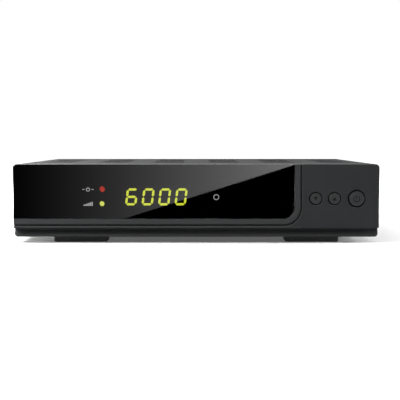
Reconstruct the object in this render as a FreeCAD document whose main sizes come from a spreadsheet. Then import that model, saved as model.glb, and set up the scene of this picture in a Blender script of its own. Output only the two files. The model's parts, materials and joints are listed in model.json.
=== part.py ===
"""Cable television receiver: a flat metal case with a dark display window and three buttons.

The origin is the centre of the whole box at the surface that the feet stand on. +Z is up, the
front faces -Y, and +X is to the right of someone who looks at the front.
"""

import FreeCAD, Part
import math
import os
import re
import Sketcher
from FreeCAD import Placement, Rotation, Vector

# Driving dimensions in millimetres, angles in degrees, grouped by what they shape.
SIZES = {
    # Case
    "case_width": 220,
    "case_depth": 165,
    "case_top": 47.6,
    "foot_drop": 3.7,
    "sheet": 0.8,
    "fit": 0.2,
    "seam": 0.4,
    "cover_inset": 0.4,
    "cover_lift": 0.4,
    "tray_flange": 12,
    "low_flange": 5.4,
    # Front panel
    "rim_depth": 14,
    "panel_corner": 2.2,
    "face_wall": 2.2,
    "side_wall": 1.6,
    "edge_round": 0.45,
    "chin_depth": 5.2,
    "chin_foot_depth": 1.6,
    "chin_height": 5.5,
    "chin_round": 0.5,
    "cove_radius": 1.2,
    "lip_height": 1.05,
    "lip_under": 0.15,
    "tongue_depth": 7.4,
    "boss_radius": 3,
    "pilot_radius": 1.1,
    "pilot_depth": 5,
    "chin_screw_depth": 2.4,
    "tray_screw_inset": 20,
    # Window, its bezel and the groove round it
    "groove_width": 1.1,
    "groove_depth": 1.8,
    "groove_corner": 11.2,
    "band_height": 3.25,
    "band_width": 3.3,
    "window_corner": 7.5,
    "window_round": 0.2,
    "window_thick": 2.0,
    "mask_thick": 0.2,
    "bezel_back": 1.0,
    "ledge_thick": 1.6,
    "window_fit": 0.1,
    "keypad_width": 46.25,
    "view_margin": 6,
    "view_half": 9.5,
    # Buttons
    "power_edge": 13.5,
    "power_pitch": 13.3,
    "small_pitch": 11.3,
    "button_rise": 23.2,
    "small_button": 6.8,
    "small_gap": 0.6,
    "power_button": 9.1,
    "power_gap": 0.8,
    "button_proud": 0.2,
    "button_travel": 0.5,
    "flange_reach": 1.2,
    "flange_gap": 0.3,
    "flange_thick": 1.1,
    "stem_radius": 1.5,
    "slide_fit": 0.06,
    "guide_thick": 1.2,
    "guide_half": 7.5,
    "post_radius": 1.5,
    "glyph_depth": 0.25,
    "glyph_stroke": 0.5,
    "ring_glyph": 2.0,
    "ring_drop": 0.2,
    "bar_rise": 2.2,
    "arrow_half": 1.3,
    "arrow_rise": 1.1,
    # Front circuit board and what it carries
    "front_board_depth": 10.5,
    "board_thick": 1.6,
    "front_board_margin": 4,
    "front_board_gap": 2.5,
    "front_board_reach": 16,
    "front_inset": 4,
    "switch_side": 6,
    "switch_height": 3.5,
    "plunger_radius": 1.7,
    "plunger_proud": 0.9,
    "plunger_sunk": 1.1,
    "display_edge": 85.95,
    "display_rise": 24.15,
    "module_width": 40.2,
    "module_height": 12.8,
    "module_thick": 7,
    "digit_count": 4,
    "digit_pitch": 9.95,
    "digit_width": 6.9,
    "digit_height": 10.3,
    "digit_stroke": 1.35,
    "digit_slant": 7.5,
    "segment_gap": 0.22,
    "segment_proud": 0.2,
    "led_edge": 53.25,
    "power_led_rise": 28.8,
    "signal_led_rise": 20.1,
    "led_radius": 1.5,
    "led_length": 5.3,
    "lead_side": 0.5,
    "lead_pitch": 1.27,
    "infrared_edge": 122.1,
    "infrared_side": 6,
    "infrared_height": 5.6,
    "infrared_lens": 2.4,
    "infrared_bulge": 0.8,
    "infrared_legs": 1,
    # Feet
    "foot_edge": 39.25,
    "foot_width": 32.5,
    "foot_length": 15.7,
    "foot_corner": 1.2,
    "foot_front": 8,
    "foot_rear": 14,
    "foot_shoulder": 1.2,
    "foot_screw_bite": 1.5,
    # Screws
    "head_radius": 2.7,
    "head_height": 1.5,
    "screw_radius": 1.45,
    "screw_fit": 0.1,
    "cross_width": 0.7,
    "cross_length": 3.2,
    "cross_depth": 0.8,
    "side_screw_rise": 7,
    "side_screw_inset": 25,
    "side_screw_length": 4,
    "countersink": 0.7,
    "rear_screw_inset": 10,
    "rear_screw_bite": 2,
    "housing_screw_bite": 5,
    "board_screw_bite": 4.4,
    "thread_fit": 0.02,
    # Vents
    "vent_length": 20,
    "vent_width": 2.6,
    "vent_pitch": 6,
    "vent_rows": 16,
    "vent_start": 44,
    "field_pitch": 36,
    "field_count": 6,
    "side_vent_height": 16,
    "side_vent_count": 14,
    "floor_vent_rows": 9,
    "floor_vent_start": 20,
    "floor_fields": 3,
    "floor_field_pitch": 30,
    "rear_vents": 2,
    "rear_vent_pitch": 26,
    "rear_vent_gap": 5,
    # Main circuit board
    "standoff_height": 6,
    "standoff_radius": 3,
    "main_length": 112,
    "board_margin": 5,
    "port_margin": 8,
    "board_gap": 6,
    "corner_inset": 5,
    "rear_inset": 30,
    "tuner_inset": 60,
    "processor_side": 27,
    "processor_thick": 2.2,
    "processor_front": 45,
    "sink_side": 36,
    "sink_base": 3,
    "sink_height": 12,
    "fin_count": 9,
    "fin_thick": 1.2,
    "memory_length": 12,
    "memory_width": 9,
    "memory_thick": 1.2,
    "memory_away": 30,
    "header_height": 8,
    "header_depth": 8,
    # Aerial sockets and tuner
    "tuner_width": 34,
    "tuner_length": 46,
    "tuner_height": 15,
    "trim_radius": 1.6,
    "rf_pitch": 16,
    "rf_rise": 8,
    "rf_radius": 4.76,
    "rf_reach": 10,
    "rf_bore": 3.1,
    "rf_bore_depth": 5,
    "rf_recess": 0.6,
    "rf_contact": 0.6,
    "neck_depth": 0.2,
    "neck_gap": 0.2,
    "nut_across": 12.7,
    "nut_thick": 2.2,
    # Stacked video and data socket
    "stack_width": 16,
    "stack_height": 24,
    "stack_depth": 18,
    "stack_proud": 0.6,
    "video_width": 14.2,
    "video_height": 4.8,
    "video_bevel": 1.6,
    "video_rise": 1.4,
    "data_width": 12.5,
    "data_height": 5.1,
    "data_rise": 15,
    "socket_depth": 11.5,
    "tongue_inset": 1.2,
    "tongue_thick": 1.7,
    "tongue_side": 1.4,
    "tongue_gap": 0.6,
    # Twenty-way picture and sound socket
    "scart_width": 47,
    "scart_height": 20,
    "scart_depth": 16,
    "scart_proud": 1,
    "scart_wall": 1.6,
    "scart_bevel": 5,
    "moat_width": 2.1,
    "moat_depth": 11,
    "slot_columns": 10,
    "slot_pitch": 3.81,
    "slot_width": 1.1,
    "slot_height": 3.6,
    "slot_rise": 2.7,
    # Round sound and picture sockets
    "rca_width": 26,
    "rca_height": 26,
    "rca_depth": 13,
    "rca_pitch": 13,
    "rca_rise": 6.6,
    "rca_reach": 8,
    "ring_radius": 4.15,
    "ring_wall": 1.1,
    "collar_radius": 5.2,
    "collar_proud": 1.6,
    "rca_bore": 1.65,
    "rca_recess": 0.6,
    # Mains inlet and rocker switch
    "power_width": 50,
    "mains_rise": 17.5,
    "inlet_width": 21.6,
    "inlet_height": 14,
    "inlet_depth": 14,
    "recess_width": 17.2,
    "recess_height": 8.6,
    "recess_depth": 12.6,
    "pin_pitch": 8.6,
    "pin_radius": 1.18,
    "pin_inset": 2.2,
    "tail_length": 5,
    "flange_width": 26,
    "flange_height": 17.5,
    "flange_proud": 1.6,
    "flange_corner": 1.2,
    "switch_edge": 11.5,
    "rocker_radius": 8.2,
    "rocker_fit": 0.2,
    "rocker_wall": 1.05,
    "rocker_height": 10.4,
    "rocker_tilt": 12,
    "rocker_below": 2,
    "pivot_depth": 1.8,
    "pivot_radius": 1.2,
    "switch_depth": 12,
    "switch_floor": 2,
    "switch_lip": 1,
    "blade_width": 4.8,
    "blade_thick": 0.8,
    # Power board
    "power_length": 96,
    "power_rear": 30,
    "mains_cap_across": 11,
    "mains_cap_along": 40,
    "mains_cap_radius": 9,
    "mains_cap_height": 28,
    "output_cap_across": 13,
    "output_cap_along": 12,
    "output_cap_count": 3,
    "output_cap_pitch": 12,
    "output_cap_radius": 5,
    "output_cap_height": 18,
    "core_across": 36,
    "core_along": 48,
    "core_width": 26,
    "core_length": 20,
    "core_height": 20,
    "coil_inset": 4,
    "filter_across": 14,
    "choke_along": 69,
    "choke_length": 14,
    "film_along": 56,
    "film_length": 7,
    "filter_width": 17,
    "filter_height": 16,
    "fuse_across": 27,
    "fuse_along": 72,
    "fuse_radius": 2.6,
    "fuse_length": 20,
    "clip_length": 4,
    "clip_rise": 3.6,
    "power_sink_across": 20,
    "power_sink_along": 26,
    "power_sink_length": 34,
    "power_sink_thick": 2,
    "power_sink_height": 24,
    "power_sink_fin": 8,
    # Leads and flat cable
    "ribbon_width": 20,
    "ribbon_thick": 0.9,
    "ribbon_edge": 2,
    "ribbon_z": 31,
    "lead_radius": 0.7,
    "lead_count": 5,
    "lead_spacing": 2.5,
    "lead_arch": 10,
    "lead_header_along": 28,
    "entry_along": 82,
    "entry_length": 6,
    "entry_height": 2.7,
    "entry_edge": 2.5,
    "bend_share": 0.45,
}

# Places that follow from the sizes. A place may use the ones before it.
PLACES = {
    "half_width": "case_width / 2",
    "front_y": "(button_proud - case_depth - rf_reach) / 2",
    "rear_y": "front_y + case_depth",
    "rear_inside": "rear_y - sheet",
    "panel_back": "front_y + rim_depth",
    "cover_front": "panel_back + seam",
    "outer_bend": "panel_corner - cover_inset",
    "inner_bend": "outer_bend - sheet",
    "cover_half": "half_width - cover_inset",
    "cover_inner": "cover_half - sheet",
    "top_inner": "case_top - sheet",
    "cover_bottom": "foot_drop + cover_lift",
    "tray_half": "cover_inner - fit",
    "tray_top": "foot_drop + sheet",
    "tongue_half": "half_width - side_wall - seam",
    "tongue_y": "front_y + tongue_depth",
    "shoulder_z": "foot_drop - foot_shoulder",
    "chin_y": "front_y + chin_depth",
    "chin_foot_y": "front_y + chin_foot_depth",
    "chin_back_y": "chin_y + side_wall",
    "lip_bottom": "foot_drop + chin_height",
    "groove_bottom": "lip_bottom + lip_height",
    "band_bottom": "groove_bottom + groove_width",
    "window_bottom": "band_bottom + band_height",
    "keypad_left": "half_width - keypad_width",
    "band_right": "keypad_left - groove_width",
    "window_right": "band_right - band_width",
    "mask_y": "front_y + window_thick",
    "pocket_y": "mask_y + mask_thick",
    "bezel_y": "pocket_y + bezel_back",
    "deep_wall_y": "bezel_y + ledge_thick",
    "face_back_y": "front_y + face_wall",
    "front_board_y": "front_y + front_board_depth",
    "front_board_back": "front_board_y + board_thick",
    "display_x": "display_edge - half_width",
    "display_z": "foot_drop + display_rise",
    "module_y": "front_board_y - module_thick",
    "led_x": "led_edge - half_width",
    "power_led_z": "foot_drop + power_led_rise",
    "signal_led_z": "foot_drop + signal_led_rise",
    "infrared_x": "infrared_edge - half_width",
    "view_left": "led_x - view_margin",
    "view_right": "infrared_x + view_margin",
    "view_bottom": "display_z - view_half",
    "view_top": "display_z + view_half",
    "button_z": "foot_drop + button_rise",
    "power_x": "half_width - power_edge",
    "up_x": "power_x - power_pitch",
    "down_x": "up_x - small_pitch",
    "flange_y": "face_back_y + flange_gap",
    "flange_back": "flange_y + flange_thick",
    "guide_y": "flange_back + button_travel + slide_fit",
    "plunger_y": "front_board_y - switch_height - plunger_proud",
    "board_left_x": "led_x - front_board_reach",
    "board_right_x": "half_width - side_wall - front_board_margin",
    "board_low_z": "lip_bottom + front_board_gap",
    "board_high_z": "case_top - side_wall - front_board_gap",
    "board_bottom": "tray_top + standoff_height",
    "board_top": "board_bottom + board_thick",
    "main_right": "cover_inner - board_margin",
    "power_left": "port_margin - half_width",
    "power_right": "power_left + power_width",
    "main_left": "power_right + board_gap",
    "main_rear": "rear_inside - sheet - fit",
    "main_front": "main_rear - main_length",
    "tuner_right": "half_width - port_margin",
    "tuner_left": "tuner_right - tuner_width",
    "rf_in_x": "tuner_right - tuner_width / 2 + rf_pitch / 2",
    "rf_out_x": "rf_in_x - rf_pitch",
    "rf_z": "board_top + rf_rise",
    "port_gap": "(tuner_left - main_left - stack_width - scart_width - rca_width) / 4",
    "stack_x": "tuner_left - port_gap - stack_width / 2",
    "scart_x": "stack_x - stack_width / 2 - port_gap - scart_width / 2",
    "rca_x": "scart_x - scart_width / 2 - port_gap - rca_width / 2",
    "rca_screw_z": "board_top + rca_rise + rca_pitch / 2",
    "stack_y": "rear_y + stack_proud",
    "scart_y": "rear_y + scart_proud",
    "mains_z": "tray_top + mains_rise",
    "inlet_x": "power_left + flange_width / 2",
    "switch_x": "power_right - switch_edge",
    "pivot_y": "rear_y - pivot_depth",
    "power_back": "rear_y - power_rear",
    "power_front": "power_back - power_length",
    "switch_half_x": "rocker_radius + rocker_fit + rocker_wall",
    "switch_half_z": "rocker_height / 2 + rocker_fit + rocker_wall",
    "filter_x": "power_left + filter_across",
    "fuse_x": "power_left + fuse_across",
    "fuse_y": "power_front + fuse_along",
    "entry_y": "power_front + entry_along",
    "lead_y": "power_front + lead_header_along",
    "front_foot_y": "front_y + foot_front + foot_length / 2",
    "rear_foot_y": "rear_y - foot_rear - foot_length / 2",
    "foot_x": "half_width - foot_edge",
    "side_screw_z": "foot_drop + side_screw_rise",
    "low_screw_z": "tray_top + low_flange / 2",
}

AXES = {"X": Vector(1, 0, 0), "Y": Vector(0, 1, 0), "Z": Vector(0, 0, 1)}
TURNS = {"X": Rotation(Vector(0, 1, 0), 90), "Y": Rotation(Vector(1, 0, 0), -90), "Z": Rotation()}
CLOSE = 1e-4

doc = FreeCAD.newDocument("receiver")
sheet_cells = doc.addObject("Spreadsheet::Sheet", "Sizes")
for row, (alias, size) in enumerate(SIZES.items(), 1):
    sheet_cells.set(f"A{row}", alias.replace("_", " "))
    sheet_cells.set(f"B{row}", str(size))
    sheet_cells.setAlias(f"B{row}", alias)
doc.recompute()

PARTS = {}


def formula(text):
    """Return the text with each named size or place written as the sheet's cells."""

    def spell(match):
        word = match.group(0)
        if word in PLACES:
            return "(" + formula(PLACES[word]) + ")"
        return "Sizes." + word if word in SIZES else word

    return re.sub(r"[a-z][a-z_0-9]*", spell, str(text))


def value(text):
    """Return what a formula comes to."""
    return float(sheet_cells.evalExpression(formula(text)))


def spot(x, y, z):
    """Return the point at three formulas."""
    return Vector(value(x), value(y), value(z))


def whole(text):
    """Return a count from the sheet."""
    return int(round(value(text)))


# Sketches and features


def pin(sketch, shape, point, across, along):
    """Tie a point of a sketched shape to two formulas."""
    for kind, text in (("DistanceX", across), ("DistanceY", along)):
        rule = sketch.addConstraint(Sketcher.Constraint(kind, -1, 1, shape, point, value(text)))
        sketch.setExpression(f"Constraints[{rule}]", formula(text))


def poly(*corners):
    """Closed outline with straight sides."""

    def draw(sketch):
        first = sketch.GeometryCount
        count = len(corners)
        points = [Vector(value(across), value(along), 0) for across, along in corners]
        for n in range(count):
            sketch.addGeometry(Part.LineSegment(points[n], points[(n + 1) % count]), False)
        for n, (across, along) in enumerate(corners):
            before = first + (n - 1) % count
            sketch.addConstraint(Sketcher.Constraint("Coincident", first + n, 1, before, 2))
            pin(sketch, first + n, 1, across, along)

    return draw


def rect(left, bottom, right, top):
    """Rectangle between two corners."""
    return poly((left, bottom), (right, bottom), (right, top), (left, top))


def oblong(across, along, width, height):
    """Rectangle round a centre."""
    half, rise = f"({width}) / 2", f"({height}) / 2"
    return rect(f"{across} - {half}", f"{along} - {rise}", f"{across} + {half}", f"{along} + {rise}")


def disc(across, along, radius):
    """Circle round a centre."""

    def draw(sketch):
        centre = Vector(value(across), value(along), 0)
        shape = sketch.addGeometry(Part.Circle(centre, AXES["Z"], value(radius)), False)
        rule = sketch.addConstraint(Sketcher.Constraint("Radius", shape, value(radius)))
        sketch.setExpression(f"Constraints[{rule}]", formula(radius))
        pin(sketch, shape, 3, across, along)

    return draw


def stadium(left, right, along, width, upright=False):
    """Slot with round ends, from left to right or, upright, from low to high."""

    def draw(sketch):
        radius = value(f"({width}) / 2")
        low = value(f"({left}) + ({width}) / 2")
        high = value(f"({right}) - ({width}) / 2")
        level = value(along)
        turn = math.pi / 2 if upright else 0
        ends = [Vector(level, place, 0) if upright else Vector(place, level, 0) for place in (low, high)]
        step = Vector(-radius, 0, 0) if upright else Vector(0, radius, 0)
        starts = (turn + math.pi / 2, turn - math.pi / 2)
        arcs = []
        for end, start in zip(ends, starts):
            circle = Part.Circle(end, AXES["Z"], radius)
            arcs.append(sketch.addGeometry(Part.ArcOfCircle(circle, start, start + math.pi), False))
        lines = []
        for side in (-1, 1):
            run = Part.LineSegment(ends[0] + step * side, ends[1] + step * side)
            lines.append(sketch.addGeometry(run, False))
        joints = ((0, 2, 0, 1), (1, 1, 0, 2), (1, 2, 1, 2), (0, 1, 1, 1))
        for arc, arc_end, line, line_end in joints:
            rule = Sketcher.Constraint("Tangent", arcs[arc], arc_end, lines[line], line_end)
            sketch.addConstraint(rule)
        places = (f"({left}) + ({width}) / 2", f"({right}) - ({width}) / 2")
        for arc, place in zip(arcs, places):
            pin(sketch, arc, 3, *((along, place) if upright else (place, along)))
        rule = sketch.addConstraint(Sketcher.Constraint("Radius", arcs[0], radius))
        sketch.setExpression(f"Constraints[{rule}]", formula(f"({width}) / 2"))

    return draw


def new_body(name):
    """Start a piece that is built from sketches."""
    body = doc.addObject("PartDesign::Body", name)
    body.Label = name
    PARTS[name] = body
    return body


def origin_part(body, role):
    """Return one of the body's own planes or axes."""
    return next(part for part in body.Origin.OriginFeatures if part.Role == role)


def feature(kind, body, plane, start, end, shapes):
    """Pad or pocket shapes between two places on the axis that crosses the plane."""
    sketch = body.newObject("Sketcher::SketchObject", body.Name + "_outline")
    sketch.AttachmentSupport = [(origin_part(body, plane + "_Plane"), "")]
    sketch.MapMode = "FlatFace"
    side = "-1" if plane == "XZ" else "1"
    sketch.setExpression("AttachmentOffset.Base.z", formula(f"{side} * ({start})"))
    for shape in shapes:
        shape(sketch)
    made = body.newObject("PartDesign::" + kind, body.Name + "_" + kind.lower())
    made.Profile = sketch
    made.setExpression("Length", formula(f"({end}) - ({start})"))
    made.Reversed = (plane == "XZ") == (kind == "Pad")
    doc.recompute()
    return made


def pad(body, plane, start, end, *shapes):
    """Add material between two places."""
    return feature("Pad", body, plane, start, end, shapes)


def pocket(body, plane, start, end, *shapes):
    """Take material away between two places."""
    return feature("Pocket", body, plane, start, end, shapes)


def middle(edge):
    """Return the point halfway along an edge."""
    return edge.valueAt((edge.FirstParameter + edge.LastParameter) / 2)


def lies(edge, **places):
    """Tell whether an edge's middle is at the given formulas."""
    point = middle(edge)
    return all(abs(getattr(point, axis) - value(text)) < CLOSE for axis, text in places.items())


def runs(edge, axis):
    """Tell whether an edge is straight and parallel to an axis."""
    straight = edge.Curve.TypeId in ("Part::GeomLine", "Part::GeomLineSegment")
    return straight and abs(edge.tangentAt(edge.FirstParameter).dot(AXES[axis])) > 1 - CLOSE


def flat_at(edge, axis, text):
    """Tell whether a whole edge lies in a plane across an axis."""
    box = edge.BoundBox
    low, high = getattr(box, axis + "Min"), getattr(box, axis + "Max")
    return max(abs(low - value(text)), abs(high - value(text))) < CLOSE


def dress(body, kind, measure, size, chosen):
    """Round or bevel the edges of the body that the test picks."""
    tip = body.Tip
    names = [f"Edge{n}" for n, edge in enumerate(tip.Shape.Edges, 1) if chosen(edge)]
    if not names:
        raise ValueError("no edge to dress on " + body.Name)
    dressed = body.newObject("PartDesign::" + kind, body.Name + "_" + kind.lower())
    dressed.Base = (tip, names)
    dressed.setExpression(measure, formula(size))
    doc.recompute()


def round_edges(body, radius, chosen):
    """Round the edges that the test picks."""
    dress(body, "Fillet", "Radius", radius, chosen)


def bevel_edges(body, size, chosen):
    """Bevel the edges that the test picks."""
    dress(body, "Chamfer", "Size", size, chosen)


def round_corner(body, radius, x, z):
    """Round the corner that an outline drawn from the front has at a place."""
    round_edges(body, radius, lambda edge: runs(edge, "Y") and lies(edge, x=x, z=z))


def repeat(body, original, axis, step, count):
    """Repeat a feature in a row."""
    pattern = body.newObject("PartDesign::LinearPattern", body.Name + "_rows")
    pattern.Originals = [original]
    pattern.Direction = (origin_part(body, axis + "_Axis"), [""])
    pattern.Mode = "Spacing"
    pattern.setExpression("Offset", formula(step))
    pattern.setExpression("Occurrences", formula(count))
    body.Tip = pattern
    doc.recompute()
    return pattern


# Plain solids and how they combine


def block(low, high):
    """Box between two corners."""
    box = doc.addObject("Part::Box", "block")
    for axis, side, start, end in zip("xyz", ("Length", "Width", "Height"), low, high):
        box.setExpression("Placement.Base." + axis, formula(start))
        box.setExpression(side, formula(f"({end}) - ({start})"))
    return box


def place_round(solid, axis, across, start):
    """Lay a round solid along an axis, from a start, at its two other coordinates in order."""
    solid.Placement = Placement(Vector(), TURNS[axis])
    places = dict(zip([letter for letter in "XYZ" if letter != axis], across))
    places[axis] = start
    for letter, text in places.items():
        solid.setExpression("Placement.Base." + letter.lower(), formula(text))


def rod(axis, across, start, end, radius):
    """Cylinder along an axis."""
    cylinder = doc.addObject("Part::Cylinder", "rod")
    place_round(cylinder, axis, across, start)
    cylinder.setExpression("Radius", formula(radius))
    cylinder.setExpression("Height", formula(f"({end}) - ({start})"))
    return cylinder


def taper(axis, across, start, end, start_radius, end_radius):
    """Cone along an axis."""
    cone = doc.addObject("Part::Cone", "taper")
    place_round(cone, axis, across, start)
    cone.setExpression("Radius1", formula(start_radius))
    cone.setExpression("Radius2", formula(end_radius))
    cone.setExpression("Height", formula(f"({end}) - ({start})"))
    return cone


def join(*pieces):
    """Fuse solids into one."""
    if len(pieces) == 1:
        return pieces[0]
    fused = doc.addObject("Part::MultiFuse", "joined")
    fused.Shapes = list(pieces)
    return fused


def cut(base, *tools):
    """Take tools out of a solid."""
    made = doc.addObject("Part::Cut", "cut")
    made.Base = base
    made.Tool = join(*tools)
    return made


def keep(name, *pieces):
    """Name a finished piece, or a group of like pieces."""
    made = pieces[0]
    if len(pieces) > 1:
        made = doc.addObject("Part::Compound", name)
        made.Links = list(pieces)
    made.Label = name
    PARTS[name] = made
    return made


def keep_shape(name, shape):
    """Name a piece whose shape is worked out here."""
    made = doc.addObject("Part::Feature", name)
    made.Shape = shape
    made.Label = name
    PARTS[name] = made
    return made


def screw(axis, across, seat, way, length, shaft="screw_radius", sunk=False):
    """Cross-head screw: the head stands on the seat on the side that way gives, 1 or -1."""

    def stretch(first, last):
        """Return two places along the axis, lower one first, counted from the seat."""
        places = [f"{seat} + {way} * ({first})", f"{seat} + {way} * ({last})"]
        return places if way > 0 else places[::-1]

    drop = "countersink" if sunk else "head_height"
    radii = ["head_radius - countersink - screw_fit", "head_radius - screw_fit"][::way]
    if sunk:
        top = taper(axis, across, *stretch("0", drop), *radii)
    else:
        top = rod(axis, across, *stretch("0", drop), "head_radius")
    shank = rod(axis, across, *stretch(f"-({length})", "0"), shaft)
    slots = []
    others = [letter for letter in "XYZ" if letter != axis]
    for wide in others:
        low, high = {}, {}
        low[axis], high[axis] = stretch(f"{drop} - cross_depth * {drop} / head_height", drop)
        for letter, centre in zip(others, across):
            half = "cross_length / 2" if letter == wide else "cross_width / 2"
            low[letter], high[letter] = f"{centre} - {half}", f"{centre} + {half}"
        slots.append(block([low[letter] for letter in "XYZ"], [high[letter] for letter in "XYZ"]))
    return cut(join(top, shank), *slots)


def bent_path(points):
    """Wire of straight runs joined by tangent arcs, and its smallest radius."""
    runs_between = [(end - start).Length for start, end in zip(points, points[1:])]
    edges, radii = [], []
    here = points[0]
    for n in range(1, len(points) - 1):
        back = (points[n - 1] - points[n]).normalize()
        ahead = (points[n + 1] - points[n]).normalize()
        turn = math.pi - back.getAngle(ahead)
        reach = value("bend_share") * min(runs_between[n - 1], runs_between[n])
        radii.append(reach / math.tan(turn / 2))
        start, end = points[n] + back * reach, points[n] + ahead * reach
        inward = (back + ahead).normalize()
        centre = points[n] + inward * math.hypot(reach, radii[-1])
        waist = centre - inward * radii[-1]
        edges.append(Part.LineSegment(here, start).toShape())
        edges.append(Part.Arc(start, waist, end).toShape())
        here = end
    edges.append(Part.LineSegment(here, points[-1]).toShape())
    return Part.Wire(edges), min(radii)


def swept(points, section):
    """Sweep a flat wire along a bent path and check the volume that comes out."""
    path, tightest = bent_path(points)
    tube = path.makePipeShell([section], True, True)
    expected = Part.Face(section).Area * path.Length
    print(f"  lead of {path.Length:.1f} mm, tightest radius {tightest:.2f} mm")
    if abs(tube.Volume / expected - 1) > 0.02:
        raise ValueError("a lead's volume is not its section times its length")
    return tube


# Front panel, bezel and window


def board_fixings():
    """Return the four places where the front board is screwed down."""
    return [
        (x, z)
        for x in ("board_left_x + front_inset", "board_right_x - front_inset")
        for z in ("board_low_z + front_inset", "board_high_z - front_inset")
    ]


def tray_fixings():
    """Return the three places where the tray is screwed to the front panel."""
    places = ("tray_screw_inset - half_width", "0", "half_width - tray_screw_inset")
    return [(x, "low_screw_z") for x in places]


def button_holes():
    """Return each button's place, hole radius and disc radius."""
    small = ("small_button / 2 + small_gap", "small_button / 2")
    large = ("power_button / 2 + power_gap", "power_button / 2")
    return {"down": ("down_x", *small), "up": ("up_x", *small), "power": ("power_x", *large)}


def make_front_panel():
    """Moulded front: a rim, a chin under a lip, a recess for the bezel and the keypad face."""
    body = new_body("front_panel")
    pad(body, "XZ", "front_y", "panel_back", rect("-half_width", "foot_drop", "half_width", "case_top"))
    round_edges(body, "panel_corner", lambda edge: runs(edge, "Y"))
    pocket(
        body, "YZ", "-half_width - 1", "half_width + 1",
        poly(
            ("front_y - 1", "foot_drop - 1"), ("chin_foot_y", "foot_drop - 1"), ("chin_foot_y", "foot_drop"),
            ("chin_y", "lip_bottom"), ("front_y - 1", "lip_bottom"),
        ),
    )
    for radius, y, z in (
        ("cove_radius", "chin_y", "lip_bottom"), ("chin_round", "chin_foot_y", "foot_drop"),
        ("lip_under", "front_y", "lip_bottom"),
    ):
        round_edges(body, radius, lambda edge: runs(edge, "X") and lies(edge, y=y, z=z))
    inner_left, inner_right = "side_wall - half_width", "half_width - side_wall"
    inner_low, inner_high = "foot_drop + side_wall", "case_top - side_wall"
    cavity = rect(inner_left, "lip_bottom + side_wall", inner_right, inner_high)
    pocket(body, "XZ", "deep_wall_y", "panel_back + 1", cavity)
    cavity = rect(inner_left, inner_low, inner_right, "lip_bottom + side_wall + 1")
    pocket(body, "XZ", "chin_back_y", "panel_back + 1", cavity)
    slit = rect(inner_left, "foot_drop - 1", inner_right, inner_low)
    pocket(body, "XZ", "tongue_y - fit", "panel_back + 1", slit)
    pocket(
        body, "XZ", "face_back_y", "deep_wall_y",
        rect("keypad_left + side_wall", "lip_bottom + side_wall", inner_right, inner_high),
    )
    pocket(
        body, "XZ", "front_y - 1", "bezel_y",
        rect("-half_width - 1", "groove_bottom", "keypad_left", "case_top + 1"),
    )
    round_corner(body, "groove_corner", "keypad_left", "groove_bottom")
    pocket(body, "XZ", "bezel_y", "deep_wall_y", rect("view_left", "view_bottom", "view_right", "view_top"))
    holes = [disc(x, "button_z", hole) for x, hole, _ in button_holes().values()]
    pocket(body, "XZ", "front_y - 1", "face_back_y", *holes)
    for start, side in (("bezel_y", "left"), ("face_back_y", "right")):
        bosses = [disc(x, z, "boss_radius") for x, z in board_fixings() if side in x]
        pad(body, "XZ", start, "front_board_y", *bosses)
    pilots = [disc(x, z, "pilot_radius") for x, z in board_fixings()]
    pocket(body, "XZ", "front_board_y - pilot_depth", "front_board_y", *pilots)
    bosses = [disc(x, z, "boss_radius") for x, z in tray_fixings()]
    pad(body, "XZ", "chin_y + side_wall / 2", "tongue_y", *bosses)
    pilots = [disc(x, z, "pilot_radius") for x, z in tray_fixings()]
    pocket(body, "XZ", "tongue_y - chin_screw_depth", "tongue_y", *pilots)
    low = "lip_bottom + lip_under"
    round_edges(body, "edge_round", lambda edge: flat_at(edge, "Y", "front_y") and not flat_at(edge, "Z", low))


def make_window_bezel():
    """Satin band beside and below the window, with a step that makes the groove's floor."""
    body = new_body("window_bezel")
    step_right, step_low = "keypad_left - window_fit", "groove_bottom + window_fit"
    step_y = "front_y + groove_depth"
    pad(body, "XZ", "front_y", step_y, rect("-half_width", "band_bottom", "band_right", "case_top"))
    round_corner(body, "groove_corner - groove_width", "band_right", "band_bottom")
    pad(body, "XZ", step_y, "bezel_y", rect("-half_width", step_low, step_right, "case_top"))
    round_corner(body, "groove_corner - window_fit", step_right, step_low)
    round_corner(body, "panel_corner", "-half_width", "case_top")
    pocket(
        body, "XZ", "front_y - 1", "pocket_y",
        rect("-half_width - 1", "window_bottom", "window_right", "case_top + 1"),
    )
    round_corner(body, "window_corner", "window_right", "window_bottom")
    pocket(body, "XZ", "pocket_y", "bezel_y", rect("view_left", "view_bottom", "view_right", "view_top"))
    round_edges(body, "edge_round", lambda edge: flat_at(edge, "Y", "front_y"))


def window_sheet(name, start, end):
    """Sheet with the window's outline: one large corner, one small one where the panel's corner is."""
    body = new_body(name)
    low, right = "window_bottom + window_fit", "window_right - window_fit"
    pad(body, "XZ", start, end, rect("-half_width", low, right, "case_top"))
    round_corner(body, "window_corner - window_fit", right, low)
    round_corner(body, "panel_corner", "-half_width", "case_top")
    return body


def make_display_window():
    """Smoked acrylic window, flush with the front."""
    body = window_sheet("display_window", "front_y", "mask_y")
    round_edges(body, "window_round", lambda edge: flat_at(edge, "Y", "front_y"))


def make_window_mask():
    """Black film behind the window, open over the display, the lamps and the remote receiver."""
    body = window_sheet("window_mask", "mask_y", "pocket_y")
    pocket(
        body, "XZ", "mask_y", "pocket_y",
        rect(
            "display_x - module_width / 2 - fit", "display_z - module_height / 2 - fit",
            "display_x + module_width / 2 + fit", "display_z + module_height / 2 + fit",
        ),
        disc("led_x", "power_led_z", "led_radius + fit"),
        disc("led_x", "signal_led_z", "led_radius"),
        disc("infrared_x", "display_z", "infrared_lens"),
    )


# Buttons and what they press


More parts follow.
